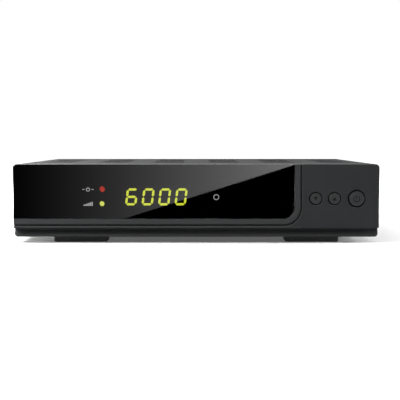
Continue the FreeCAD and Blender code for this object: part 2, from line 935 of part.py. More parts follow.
def make_button(name):
    """Disc with a retaining flange and a stem, and its engraved sign."""
    x, hole, radius = button_holes()[name]
    body = new_body("button_" + name)
    face = "front_y - button_proud"
    pad(body, "XZ", face, "flange_y", disc(x, "button_z", radius))
    pad(body, "XZ", "flange_y", "flange_back", disc(x, "button_z", f"{hole} + flange_reach"))
    pad(body, "XZ", "flange_back", "plunger_y", disc(x, "button_z", "stem_radius"))
    round_edges(body, "edge_round", lambda edge: flat_at(edge, "Y", face))
    floor = face + " + glyph_depth"
    if name == "power":
        low, high = "button_z - ring_drop", "button_z + bar_rise"
        inner = disc(x, low, "ring_glyph - glyph_stroke")
        pocket(body, "XZ", face, floor, disc(x, low, "ring_glyph"), inner)
        gap, half = "glyph_stroke * 1.5", "glyph_stroke / 2"
        pad(body, "XZ", face, floor, rect(f"{x} - {gap}", "button_z + glyph_stroke", f"{x} + {gap}", high))
        pocket(body, "XZ", face, floor, rect(f"{x} - {half}", low, f"{x} + {half}", high))
        return
    way = "1" if name == "up" else "-1"
    low, high = f"button_z - {way} * arrow_rise", f"button_z + {way} * arrow_rise"
    pocket(
        body, "XZ", face, floor,
        poly((f"{x} - arrow_half", low), (f"{x} + arrow_half", low), (x, high)),
    )


def make_button_guide():
    """Plate behind the panel that the three stems slide in, on four posts."""
    low = ("down_x - small_button / 2 - small_gap - flange_reach", "guide_y", "button_z - guide_half")
    high = ("power_x + power_button / 2 + flange_reach", "guide_y + guide_thick", "button_z + guide_half")
    posts = [
        rod("Y", (x, z), "face_back_y", "guide_y", "post_radius")
        for x in ("down_x + small_pitch / 2", "up_x + power_pitch / 2 - fit")
        for z in ("button_z - guide_half + post_radius", "button_z + guide_half - post_radius")
    ]
    bores = [
        rod("Y", (x, "button_z"), "guide_y - 1", "guide_y + guide_thick + 1", "stem_radius + slide_fit")
        for x, _, _ in button_holes().values()
    ]
    keep("button_guide", cut(join(block(low, high), *posts), *bores))


def make_switches():
    """Press switches on the front board, and the plunger that each button pushes in."""
    cases = []
    for name, (x, _, _) in button_holes().items():
        front = "front_board_y - switch_height"
        half = "switch_side / 2"
        low = (f"{x} - {half}", front, f"button_z - {half}")
        high = (f"{x} + {half}", "front_board_y", f"button_z + {half}")
        case = block(low, high)
        floor = f"{front} + plunger_sunk + button_travel + slide_fit"
        well = rod("Y", (x, "button_z"), f"{front} - 1", floor, "plunger_radius + slide_fit")
        cases.append(cut(case, well))
        plunger = rod("Y", (x, "button_z"), "plunger_y", f"{front} + plunger_sunk", "plunger_radius")
        keep("plunger_" + name, plunger)
    keep("press_switches", *cases)


# Front board with the display and lamps


def make_front_board():
    """Upright circuit board behind the panel."""
    board = block(
        ("board_left_x", "front_board_y", "board_low_z"),
        ("board_right_x", "front_board_back", "board_high_z"),
    )
    holes = [
        rod("Y", (x, z), "front_board_y - 1", "front_board_back + 1", "screw_radius + screw_fit")
        for x, z in board_fixings()
    ]
    keep("front_board", cut(board, *holes))


def make_display_module():
    """Housing of the four-digit display."""
    case = block(
        ("display_x - module_width / 2", "module_y", "display_z - module_height / 2"),
        ("display_x + module_width / 2", "front_board_y", "display_z + module_height / 2"),
    )
    keep("display_module", case)


def digit_bars(width, height, stroke, gap):
    """Return the seven bars of an upright digit, by letter, each as corner points."""
    half, rise, thick = width / 2 - stroke / 2, height / 2 - stroke / 2, stroke / 2

    def bar(start, end):
        """Bar between two points of the digit's centre lines, pointed at both ends."""
        ahead = (end - start).normalize()
        side = Vector(-ahead.y, ahead.x, 0) * thick
        start, end = start + ahead * gap, end - ahead * gap
        near, far = start + ahead * thick, end - ahead * thick
        return [start, near + side, far + side, end, far - side, near - side]

    corners = {
        "a": ((-half, rise), (half, rise)),
        "b": ((half, rise), (half, 0)),
        "c": ((half, 0), (half, -rise)),
        "d": ((-half, -rise), (half, -rise)),
        "e": ((-half, 0), (-half, -rise)),
        "f": ((-half, rise), (-half, 0)),
        "g": ((-half, 0), (half, 0)),
    }
    return {name: bar(Vector(*start, 0), Vector(*end, 0)) for name, (start, end) in corners.items()}


def make_display_segments():
    """Lit bars of the four digits, a six and three noughts, each standing a little proud."""
    sizes = ("digit_width", "digit_height", "digit_stroke", "segment_gap")
    bars = digit_bars(*[value(size) for size in sizes])
    lean = math.tan(math.radians(value("digit_slant")))
    proud = Vector(0, value("segment_proud"), 0)
    solids = []
    for n in range(whole("digit_count")):
        lit = "acdefg" if n == 0 else "abcdef"
        x = f"display_x + ({n} - (digit_count - 1) / 2) * digit_pitch"
        centre = spot(x, "module_y - segment_proud", "display_z")
        for name in lit:
            corners = [centre + Vector(point.x + lean * point.y, 0, point.y) for point in bars[name]]
            face = Part.Face(Part.makePolygon(corners + corners[:1]))
            solids.append(face.extrude(proud))
    keep_shape("display_segments", Part.Compound(solids))


def make_lamp(name, z):
    """Round indicator lamp with its two legs."""
    tip = "mask_y + mask_thick"
    base = f"{tip} + led_length"
    lens = doc.addObject("Part::Sphere", "lens")
    lens.setExpression("Radius", formula("led_radius"))
    for axis, text in (("x", "led_x"), ("y", f"{tip} + led_radius"), ("z", z)):
        lens.setExpression("Placement.Base." + axis, formula(text))
    case = rod("Y", ("led_x", z), f"{tip} + led_radius", base, "led_radius")
    rim = rod("Y", ("led_x", z), f"{base} - 1", base, "led_radius + 0.3")
    legs = [
        block(
            (f"led_x + {side} * lead_pitch - lead_side / 2", base, f"{z} - lead_side / 2"),
            (f"led_x + {side} * lead_pitch + lead_side / 2", "front_board_y", f"{z} + lead_side / 2"),
        )
        for side in (-1, 1)
    ]
    keep(name, join(lens, case, rim, *legs))


def make_infrared_receiver():
    """Remote-control receiver with a round lens, on its own legs."""
    half, tall = "infrared_side / 2", "infrared_height / 2"
    back = "front_board_y - infrared_legs"
    case = block(
        (f"infrared_x - {half}", f"{back} - infrared_height", f"display_z - {tall}"),
        (f"infrared_x + {half}", back, f"display_z + {tall}"),
    )
    front = f"{back} - infrared_height"
    lens = rod("Y", ("infrared_x", "display_z"), f"{front} - infrared_bulge", front, "infrared_lens")
    legs = [
        block(
            (f"infrared_x + {n} * lead_pitch - lead_side / 2", back, "display_z - lead_side / 2"),
            (f"infrared_x + {n} * lead_pitch + lead_side / 2", "front_board_y", "display_z + lead_side / 2"),
        )
        for n in (-1, 0, 1)
    ]
    keep("infrared_receiver", join(case, lens, *legs))


# Sheet-metal case


def screw_spots():
    """Return where the cover's side screws are, along the case."""
    return ("cover_front + side_screw_inset", "rear_y - side_screw_inset")


def vent_row(pitch, count, y, shift="0"):
    """Row of slots across the case, spaced evenly about the middle."""
    row = []
    for n in range(whole(count)):
        centre = f"({shift} + ({n} - ({count} - 1) / 2) * {pitch})"
        row.append(stadium(f"{centre} - vent_length / 2", f"{centre} + vent_length / 2", y, "vent_width"))
    return row


def make_top_cover():
    """Folded steel cover: top and two sides, with slots in both."""
    body = new_body("top_cover")
    outline = poly(
        ("-cover_half", "cover_bottom"), ("-cover_inner", "cover_bottom"), ("-cover_inner", "top_inner"),
        ("cover_inner", "top_inner"), ("cover_inner", "cover_bottom"), ("cover_half", "cover_bottom"),
        ("cover_half", "case_top"), ("-cover_half", "case_top"),
    )
    pad(body, "XZ", "cover_front", "rear_y", outline)
    bends = (("cover_half", "case_top", "outer_bend"), ("cover_inner", "top_inner", "inner_bend"))
    for x, high, radius in bends:
        for side in ("", "-"):
            round_corner(body, radius, side + x, high)
    row = vent_row("field_pitch", "field_count", "front_y + vent_start")
    slots = pocket(body, "XY", "top_inner - 1", "case_top + 1", *row)
    repeat(body, slots, "Y", "vent_pitch", "vent_rows")
    first = "(cover_front + rear_y) / 2 - (side_vent_count - 1) * vent_pitch / 2"
    low = "case_top / 2 - side_vent_height / 2"
    upright = stadium(low, f"{low} + side_vent_height", first, "vent_width", True)
    slot = pocket(body, "YZ", "-half_width", "half_width", upright)
    repeat(body, slot, "Y", "vent_pitch", "side_vent_count")
    holes = [disc(y, "side_screw_z", "head_radius - countersink") for y in screw_spots()]
    pocket(body, "YZ", "-half_width", "half_width", *holes)
    for side in ("cover_half", "-cover_half"):
        bevel_edges(body, "countersink", lambda edge: edge.Closed and flat_at(edge, "X", side))


def make_chassis_tray():
    """Folded steel tray: floor, tall side flanges, low front and rear flanges, and floor slots."""
    body = new_body("chassis_tray")
    outline = poly(
        ("-tray_half", "foot_drop"), ("tray_half", "foot_drop"), ("tray_half", "foot_drop + tray_flange"),
        ("tray_half - sheet", "foot_drop + tray_flange"), ("tray_half - sheet", "tray_top"),
        ("sheet - tray_half", "tray_top"), ("sheet - tray_half", "foot_drop + tray_flange"),
        ("-tray_half", "foot_drop + tray_flange"),
    )
    pad(body, "XZ", "cover_front", "rear_inside", outline)
    round_edges(body, "sheet + fit", lambda edge: runs(edge, "Y") and flat_at(edge, "Z", "foot_drop"))
    tongue = rect("-tongue_half", "tongue_y", "tongue_half", "cover_front + 1")
    pad(body, "XY", "foot_drop", "tray_top", tongue)
    wall = rect("-tongue_half", "tongue_y", "tongue_half", "tongue_y + sheet")
    pad(body, "XY", "tray_top", "tray_top + low_flange", wall)
    rear = rect("-tray_half + sheet", "rear_inside - sheet", "tray_half - sheet", "rear_inside")
    pad(body, "XY", "tray_top", "tray_top + low_flange", rear)
    row = vent_row("floor_field_pitch", "floor_fields", "main_front + floor_vent_start", "scart_x")
    slots = pocket(body, "XY", "foot_drop - 1", "tray_top + 1", *row)
    repeat(body, slots, "Y", "vent_pitch", "floor_vent_rows")
    holes = [disc(x, z, "screw_radius + screw_fit") for x, z in tray_fixings()]
    pocket(body, "XZ", "tongue_y", "tongue_y + sheet", *holes)
    holes = [disc(x, "low_screw_z", "screw_radius + screw_fit") for x in rear_low_screws()]
    pocket(body, "XZ", "rear_inside - sheet", "rear_inside", *holes)
    holes = [disc(x, y, "screw_radius + screw_fit") for x, y in foot_spots().values()]
    pocket(body, "XY", "foot_drop", "tray_top", *holes)
    holes = [disc(y, "side_screw_z", "screw_radius + screw_fit") for y in screw_spots()]
    pocket(body, "YZ", "-half_width", "half_width", *holes)


def rear_low_screws():
    """Return where the rear panel is screwed to the tray, across the case."""
    return ("rear_screw_inset - half_width", "main_left - board_gap / 2", "half_width - rear_screw_inset")


def rca_spots():
    """Return the round sockets by name: column across, row up, in steps of the pitch."""
    sides = {"left": "0.5", "right": "-0.5"}
    rows = {"low": "board_top + rca_rise", "high": "board_top + rca_rise + rca_pitch"}
    return {
        "video": (f"rca_x + {sides['left']} * rca_pitch", rows["high"]),
        "left": (f"rca_x + {sides['right']} * rca_pitch", rows["high"]),
        "right": (f"rca_x + {sides['right']} * rca_pitch", rows["low"]),
        "digital": (f"rca_x + {sides['left']} * rca_pitch", rows["low"]),
    }


def make_rear_panel():
    """Flat steel rear panel with an opening for each socket and flanges at its sides and top."""
    body = new_body("rear_panel")
    half, high = "(cover_inner - fit)", "top_inner - fit"
    pad(body, "XZ", "rear_inside", "rear_y", rect(f"-{half}", "foot_drop", half, high))
    inner_half = f"({half} - sheet)"
    for left, right in ((f"-{half}", f"-{inner_half}"), (inner_half, half)):
        wall = rect(left, "rear_inside - low_flange", right, "rear_inside")
        pad(body, "XY", "foot_drop + tray_flange + fit", "top_inner - fit - panel_corner", wall)
    reach = "(cover_inner - panel_corner)"
    shelf = rect(f"-{reach}", "rear_inside - low_flange", reach, "rear_inside")
    pad(body, "XY", "top_inner - fit - sheet", high, shelf)
    for x in (half, f"-{half}"):
        round_corner(body, "inner_bend", x, high)
    holes = [disc(x, "rf_z", "rf_radius + fit") for x in ("rf_in_x", "rf_out_x")]
    holes += [disc(x, z, "collar_radius + fit / 2") for x, z in rca_spots().values()]
    holes += [disc(x, "low_screw_z", "screw_radius + screw_fit") for x in rear_low_screws()]
    holes.append(disc("rca_x", "rca_screw_z", "screw_radius + screw_fit"))
    windows = (
        ("stack_x", "stack_width / 2", "board_top", "board_top + stack_height"),
        ("scart_x", "scart_width / 2", "board_top", "board_top + scart_height"),
        ("inlet_x", "inlet_width / 2", "mains_z - inlet_height / 2", "mains_z + inlet_height / 2"),
        ("switch_x", "switch_half_x", "mains_z - switch_half_z", "mains_z + switch_half_z"),
    )
    for x, half, low, high in windows:
        holes.append(rect(f"{x} - {half} - fit", f"{low} - fit", f"{x} + {half} + fit", f"{high} + fit"))
    pocket(body, "XZ", "rear_inside", "rear_y", *holes)
    vent_z = "mains_z + flange_height / 2 + rear_vent_gap"
    pocket(
        body, "XZ", "rear_inside", "rear_y",
        *vent_row("rear_vent_pitch", "rear_vents", vent_z, "(inlet_x + switch_x) / 2"),
    )


# Feet and screws


def foot_spots():
    """Return the centre of each foot."""
    return {
        "front_left": ("-foot_x", "front_foot_y"), "front_right": ("foot_x", "front_foot_y"),
        "rear_left": ("-foot_x", "rear_foot_y"), "rear_right": ("foot_x", "rear_foot_y"),
    }


def make_feet():
    """Four flat blocks under the case, each with a recess for its screw."""
    for name, (x, y) in foot_spots().items():
        body = new_body("foot_" + name)
        pad(body, "XY", "0", "foot_drop", oblong(x, y, "foot_width", "foot_length"))
        round_edges(body, "foot_corner", lambda edge: runs(edge, "Z"))
        round_edges(body, "edge_round", lambda edge: flat_at(edge, "Z", "0"))
        pocket(body, "XY", "0", "shoulder_z", disc(x, y, "head_radius + fit"))
        pocket(body, "XY", "shoulder_z", "foot_drop", disc(x, y, "screw_radius + screw_fit"))


def make_screws():
    """Screws in groups of one kind."""
    sides = []
    for y in screw_spots():
        for way, seat in ((1, "cover_half - countersink"), (-1, "countersink - cover_half")):
            sides.append(screw("X", (y, "side_screw_z"), seat, way, "side_screw_length", sunk=True))
    keep("cover_screws", *sides)
    length = "sheet * 2 + rear_screw_bite"
    backs = [screw("Y", (x, "low_screw_z"), "rear_y", 1, length) for x in rear_low_screws()]
    length = "sheet + fit + housing_screw_bite"
    keep("rear_screws", *backs, screw("Y", ("rca_x", "rca_screw_z"), "rear_y", 1, length))
    length = "board_thick + board_screw_bite"
    keep("board_screws", *[screw("Z", place, "board_top", 1, length) for place in standoff_spots()])
    tapping = [
        screw("Y", spots, "front_board_back", 1, "board_thick + pilot_depth - fit", shaft="pilot_radius")
        for spots in board_fixings()
    ]
    tapping += [
        screw("Y", spots, "tongue_y + sheet", 1, "sheet + chin_screw_depth - fit", shaft="pilot_radius")
        for spots in tray_fixings()
    ]
    tapping += [
        screw("Z", spots, "shoulder_z", -1, "foot_shoulder + sheet + foot_screw_bite")
        for spots in foot_spots().values()
    ]
    keep("tapping_screws", *tapping)


# Main board


def standoff_spots():
    """Return where both boards are screwed down: five on the main board, four on the power board."""
    near, far = "main_front + corner_inset", "main_rear - rear_inset"
    spots = [
        ("main_left + corner_inset", near), ("main_right - corner_inset", near),
        ("main_left + corner_inset", far), ("stack_x", far),
        ("main_right - corner_inset", "main_rear - tuner_inset"),
    ]
    for x in ("power_left + corner_inset", "power_right - corner_inset"):
        for y in ("power_front + corner_inset", "power_back - corner_inset"):
            spots.append((x, y))
    return spots


def make_boards():
    """Main board and power board, and the pillars that carry them."""
    boards = {
        "main_board": ("main_left", "main_front", "main_right", "main_rear"),
        "power_board": ("power_left", "power_front", "power_right", "power_back"),
    }
    spots = {"main_board": standoff_spots()[:5], "power_board": standoff_spots()[5:]}
    for name, (left, front, right, rear) in boards.items():
        board = block((left, front, "board_bottom"), (right, rear, "board_top"))
        holes = [
            rod("Z", place, "board_bottom - 1", "board_top + 1", "screw_radius + screw_fit")
            for place in spots[name]
        ]
        keep(name, cut(board, *holes))
    pillars = []
    for place in standoff_spots():
        pillar = rod("Z", place, "tray_top", "board_bottom", "standoff_radius")
        depth = "(board_screw_bite + fit)"
        thread = rod("Z", place, f"board_bottom - {depth}", "board_bottom + 1", "screw_radius + thread_fit")
        pillars.append(cut(pillar, thread))
    keep("standoffs", *pillars)


def centred(x, y, width, length, low, high):
    """Box on a board, centred on a place."""
    half, reach = f"({width}) / 2", f"({length}) / 2"
    return block((f"{x} - {half}", f"{y} - {reach}", low), (f"{x} + {half}", f"{y} + {reach}", high))


def make_processor():
    """Processor, its finned heat sink and the memory beside it."""
    x, y = "scart_x", "main_front + processor_front"
    chip_top = "board_top + processor_thick"
    keep("processor", centred(x, y, "processor_side", "processor_side", "board_top", chip_top))
    fin_low, fin_high = f"{chip_top} + sink_base", f"{chip_top} + sink_height"
    base = centred(x, y, "sink_side", "sink_side", chip_top, fin_low)
    fins = []
    for n in range(whole("fin_count")):
        fin_x = f"{x} + ({n} - (fin_count - 1) / 2) * (sink_side - fin_thick) / (fin_count - 1)"
        fins.append(centred(fin_x, y, "fin_thick", "sink_side", fin_low, fin_high))
    keep("heat_sink", join(base, *fins))
    chips = [
        centred(f"{x} + memory_away", f"{y} + {n} * memory_width * 1.5", "memory_length", "memory_width",
                "board_top", "board_top + memory_thick")
        for n in (-1, 0, 1)
    ]
    keep("memory_chips", *chips)


def necked(place, start, seat, end, radius):
    """Pin along Y that is a little thinner up to a short way past the seat of what goes on it."""
    step = f"{seat} + neck_gap"
    neck = rod("Y", place, start, step, f"{radius} - neck_depth")
    return join(neck, rod("Y", place, step, end, radius))


def make_tuner():
    """Screened tuner box, its two threaded aerial sockets, their nuts and insulators."""
    rear = "rear_inside - fit"
    top = "board_top + tuner_height"
    can = block(("tuner_left", f"{rear} - tuner_length", "board_top"), ("tuner_right", rear, top))
    lid_holes = [
        rod("Z", ("(tuner_left + tuner_right) / 2", f"{rear} - tuner_length * {n} / 4"),
            f"{top} - sheet", f"{top} + 1", "trim_radius")
        for n in (1, 2, 3)
    ]
    keep("tuner_can", cut(can, *lid_holes))
    tip = "rear_y + rf_reach"
    barrels, nuts, cores = [], [], []
    for x in ("rf_in_x", "rf_out_x"):
        barrel = necked((x, "rf_z"), rear, "rear_y + nut_thick", tip, "rf_radius")
        well = rod("Y", (x, "rf_z"), f"{tip} - rf_bore_depth", f"{tip} + 1", "rf_bore")
        barrels.append(cut(barrel, well))
        bottom = f"{tip} - rf_bore_depth"
        core = rod("Y", (x, "rf_z"), bottom, f"{tip} - rf_recess", "rf_bore - thread_fit")
        cores.append(cut(core, rod("Y", (x, "rf_z"), f"{bottom} + 1", tip, "rf_contact")))
        nut = doc.addObject("Part::Prism", "nut")
        nut.Polygon = 6
        place_round(nut, "Y", (x, "rf_z"), "rear_y")
        nut.setExpression("Circumradius", formula("nut_across / 2 / cos(30)"))
        nut.setExpression("Height", formula("nut_thick"))
        inside = "rf_radius - neck_depth + thread_fit"
        thread = rod("Y", (x, "rf_z"), "rear_y - 1", "rear_y + nut_thick + 1", inside)
        nuts.append(cut(nut, thread))
    keep("rf_connectors", *barrels)
    keep("rf_nuts", *nuts)
    return cores


def make_stack(insulators):
    """Metal housing with the video socket below and the data socket above."""
    body = new_body("video_data_socket")
    left, right = "stack_x - stack_width / 2", "stack_x + stack_width / 2"
    outline = rect(left, "board_top", right, "board_top + stack_height")
    pad(body, "XZ", "stack_y - stack_depth", "stack_y", outline)
    low, half = "board_top + video_rise", "video_width / 2"
    mouth = poly(
        (f"stack_x - {half} + video_bevel", low), (f"stack_x + {half} - video_bevel", low),
        (f"stack_x + {half}", f"{low} + video_bevel"), (f"stack_x + {half}", f"{low} + video_height"),
        (f"stack_x - {half}", f"{low} + video_height"), (f"stack_x - {half}", f"{low} + video_bevel"),
    )
    data_high = "board_top + data_rise + data_height"
    slot = oblong("stack_x", "board_top + data_rise + data_height / 2", "data_width", "data_height")
    pocket(body, "XZ", "stack_y - socket_depth", "stack_y", mouth, slot)
    back, front = "stack_y - socket_depth", "stack_y - tongue_inset"
    centre = f"{low} + video_height / 2"
    reach = "(video_width / 2 - tongue_side)"
    insulators.append(
        block(
            (f"stack_x - {reach}", back, f"{centre} - tongue_thick / 2"),
            (f"stack_x + {reach}", front, f"{centre} + tongue_thick / 2"),
        )
    )
    high = f"{data_high} - tongue_gap"
    reach = "(data_width / 2 - tongue_gap)"
    insulators.append(
        block((f"stack_x - {reach}", back, f"{high} - tongue_thick"), (f"stack_x + {reach}", front, high))
    )


def make_scart():
    """Wide socket with two staggered rows of contact slots in a block inside a moat."""
    body = new_body("scart_socket")
    left, right = "scart_x - scart_width / 2", "scart_x + scart_width / 2"
    low, high = "board_top", "board_top + scart_height"
    pad(body, "XZ", "scart_y - scart_depth", "scart_y", rect(left, low, right, high))

    def ring(inset):
        """Outline of the socket with one slanted corner, drawn in from the housing's edge."""
        near, far = f"{left} + {inset}", f"{right} - {inset}"
        floor, roof = f"{low} + {inset}", f"{high} - {inset}"
        slant = (f"{far} - scart_bevel", floor), (far, f"{floor} + scart_bevel")
        return poly((near, floor), *slant, (far, roof), (near, roof))

    inner = ring("(scart_wall + moat_width)")
    pocket(body, "XZ", "scart_y - moat_depth", "scart_y", ring("scart_wall"), inner)
    for row in (1, -1):
        first = f"scart_x - (slot_columns - 1) * slot_pitch / 2 - ({row} + 1) / 4 * slot_pitch"
        middle_z = f"({low} + {high}) / 2 + {row} * slot_rise"
        slot = oblong(first, middle_z, "slot_width", "slot_height")
        slots = pocket(body, "XZ", "scart_y - moat_depth", "scart_y", slot)
        repeat(body, slots, "X", "slot_pitch", "slot_columns")


def make_rca():
    """Block of four round sockets: a metal ring and a coloured collar and core each."""
    rear = "rear_inside - fit"
    housing = block(
        ("rca_x - rca_width / 2", f"{rear} - rca_depth", "board_top"),
        ("rca_x + rca_width / 2", rear, "board_top + rca_height"),
    )
    end = f"{rear} - housing_screw_bite - fit"
    hole = rod("Y", ("rca_x", "rca_screw_z"), end, f"{rear} + 1", "screw_radius + thread_fit")
    keep("rca_housing", cut(housing, hole))
    rings = []
    for name, place in rca_spots().items():
        ring = necked(place, rear, "rear_y + collar_proud", "rear_y + rca_reach", "ring_radius")
        inner = rod("Y", place, f"{rear} - 1", "rear_y + rca_reach + 1", "ring_radius - ring_wall")
        rings.append(cut(ring, inner))
        collar = rod("Y", place, rear, "rear_y + collar_proud", "collar_radius")
        around = "ring_radius - neck_depth + thread_fit"
        gap = rod("Y", place, f"{rear} - 1", "rear_y + collar_proud + 1", around)
        inside = "ring_radius - ring_wall - thread_fit"
        core = rod("Y", place, rear, "rear_y + rca_reach - rca_recess", inside)
        bore = rod("Y", place, f"{rear} + 1", "rear_y + rca_reach + 1", "rca_bore")
        keep("rca_" + name + "_insert", cut(collar, gap), cut(core, bore))
    keep("rca_rings", *rings)


# Mains inlet, rocker switch and power board


def make_mains_inlet():
    """Two-pin mains inlet, with its pins and the rocker switch's blades."""
    body = new_body("mains_inlet")
    face = "rear_y + flange_proud"
    pad(body, "XZ", "rear_y", face, oblong("inlet_x", "mains_z", "flange_width - fit", "flange_height"))
    round_edges(body, "flange_corner", lambda edge: runs(edge, "Y"))
    core = oblong("inlet_x", "mains_z", "inlet_width", "inlet_height")
    pad(body, "XZ", "rear_y - inlet_depth", "rear_y", core)
    recess = stadium("inlet_x - recess_width / 2", "inlet_x + recess_width / 2", "mains_z", "recess_height")
    pocket(body, "XZ", f"{face} - recess_depth", face, recess)
    pins = [(f"inlet_x + {side} * pin_pitch / 2", "mains_z") for side in (-1, 1)]
    holes = [disc(*place, "pin_radius - neck_depth") for place in pins]
    pocket(body, "XZ", "rear_y - inlet_depth", f"{face} - recess_depth", *holes)
    start, end = "rear_y - inlet_depth - tail_length", f"{face} - pin_inset"
    tips = [necked(place, start, f"{face} - recess_depth", end, "pin_radius") for place in pins]
    blades = []
    for side in (-1, 1):
        x = f"switch_x + {side} * rocker_radius / 2"
        low = (f"{x} - blade_width / 2", "rear_y - switch_depth - tail_length", "mains_z - blade_thick / 2")
        high = (f"{x} + blade_width / 2", "rear_y - switch_depth", "mains_z + blade_thick / 2")
        blades.append(block(low, high))
    keep("mains_pins", *tips, *blades)


def make_power_switch():
    """Housing of the rocker switch: a flange, an open box and a bore for each pivot pin."""
    face = "rear_y + flange_proud"
    body = new_body("switch_housing")
    width, height = "switch_half_x * 2", "switch_half_z * 2"
    rim = oblong("switch_x", "mains_z", f"{width} + switch_lip * 2", f"{height} + switch_lip * 2")
    pad(body, "XZ", "rear_y", face, rim)
    round_edges(body, "flange_corner", lambda edge: runs(edge, "Y"))
    pad(body, "XZ", "rear_y - switch_depth", "rear_y", oblong("switch_x", "mains_z", width, height))
    width, height = "(rocker_radius + rocker_fit) * 2", "rocker_height + rocker_fit * 2"
    well = oblong("switch_x", "mains_z", width, height)
    pocket(body, "XZ", "rear_y - switch_depth + switch_floor", face, well)
    bore = disc("switch_x", "pivot_y", "pivot_radius + 0.05")
    pocket(body, "XY", "mains_z - switch_half_z", "mains_z + switch_half_z", bore)


def make_power_rocker():
    """Rocker with a shallow V of a face and round ends, tilted to its resting side."""
    radius, tilt = value("rocker_radius"), math.radians(value("rocker_tilt"))
    half_height = value("rocker_height / 2")
    level = value("pivot_depth + flange_proud")
    reach = math.sqrt(radius**2 - level**2)
    corner = Vector(reach, level, 0)
    corner = Rotation(AXES["Z"], value("rocker_tilt")).multVec(corner)
    dip = Vector(0, level / math.cos(tilt), 0)
    below = value("rocker_below")
    base = Vector(math.sqrt(radius**2 - below**2), -below, 0)
    side = Vector(radius, 0, 0)

    def mirrored(point):
        return Vector(-point.x, point.y, 0)

    edges = [
        Part.Arc(base, side, corner).toShape(),
        Part.LineSegment(corner, dip).toShape(),
        Part.LineSegment(dip, mirrored(corner)).toShape(),
        Part.Arc(mirrored(corner), mirrored(side), mirrored(base)).toShape(),
        Part.LineSegment(mirrored(base), base).toShape(),
    ]
    face = Part.Face(Part.Wire(edges))
    face.translate(Vector(0, 0, -half_height))
    solid = face.extrude(Vector(0, 0, half_height * 2))
    pin_reach = half_height + value("rocker_fit + rocker_wall * 0.8")
    pivot = Part.makeCylinder(value("pivot_radius"), pin_reach * 2, Vector(0, 0, -pin_reach))
    rocker = keep_shape("power_rocker", solid.fuse(pivot))
    centre = spot("switch_x", "pivot_y", "mains_z")
    rocker.Placement = Placement(centre, Rotation(AXES["Z"], value("rocker_tilt")))


def make_power_parts():
    """What stands on the power board."""
    low = "board_top"
    place = ("power_left + mains_cap_across", "power_front + mains_cap_along")
    mains = rod("Z", place, low, f"{low} + mains_cap_height", "mains_cap_radius")
    outputs = []
    for n in range(whole("output_cap_count")):
        x = f"power_left + output_cap_across + {n} * output_cap_pitch"
        place = (x, "power_front + output_cap_along")
        outputs.append(rod("Z", place, low, f"{low} + output_cap_height", "output_cap_radius"))
    keep("capacitors", mains, *outputs)
    place = ("power_left + core_across", "power_front + core_along")
    core = centred(*place, "core_width", "core_length", low, f"{low} + core_height")
    width, length = "core_width - coil_inset * 2", "core_length + coil_inset"
    coil = centred(*place, width, length, low, f"{low} + core_height + coil_inset / 2")
    keep("transformer", join(core, coil))
    high = f"{low} + filter_height"
    choke = centred("filter_x", "power_front + choke_along", "filter_width", "choke_length", low, high)
    film = centred("filter_x", "power_front + film_along", "filter_width", "film_length", low, high)
    keep("line_filter", choke, film)
    half, place = "fuse_length / 2", ("fuse_x", f"{low} + clip_rise")
    glass = rod("Y", place, f"fuse_y - {half}", f"fuse_y + {half}", "fuse_radius")
    clips = [
        centred("fuse_x", f"fuse_y + {side} * ({half} - clip_length / 2)", "fuse_radius * 2", "clip_length",
                low, f"{low} + clip_rise")
        for side in (-1, 1)
    ]
    keep("fuse", join(glass, *clips))
    sink_x, sink_y = "power_left + power_sink_across", "power_front + power_sink_along"
    high = f"{low} + power_sink_height"
    plate = centred(sink_x, sink_y, "power_sink_length", "power_sink_thick", low, high)
    ends = []
    for side in (-1, 1):
        x = f"{sink_x} + {side} * (power_sink_length - power_sink_thick) / 2"
        y = f"{sink_y} - (power_sink_fin - power_sink_thick) / 2"
        ends.append(centred(x, y, "power_sink_thick", "power_sink_fin", low, high))
    keep("power_heat_sink", join(plate, *ends))


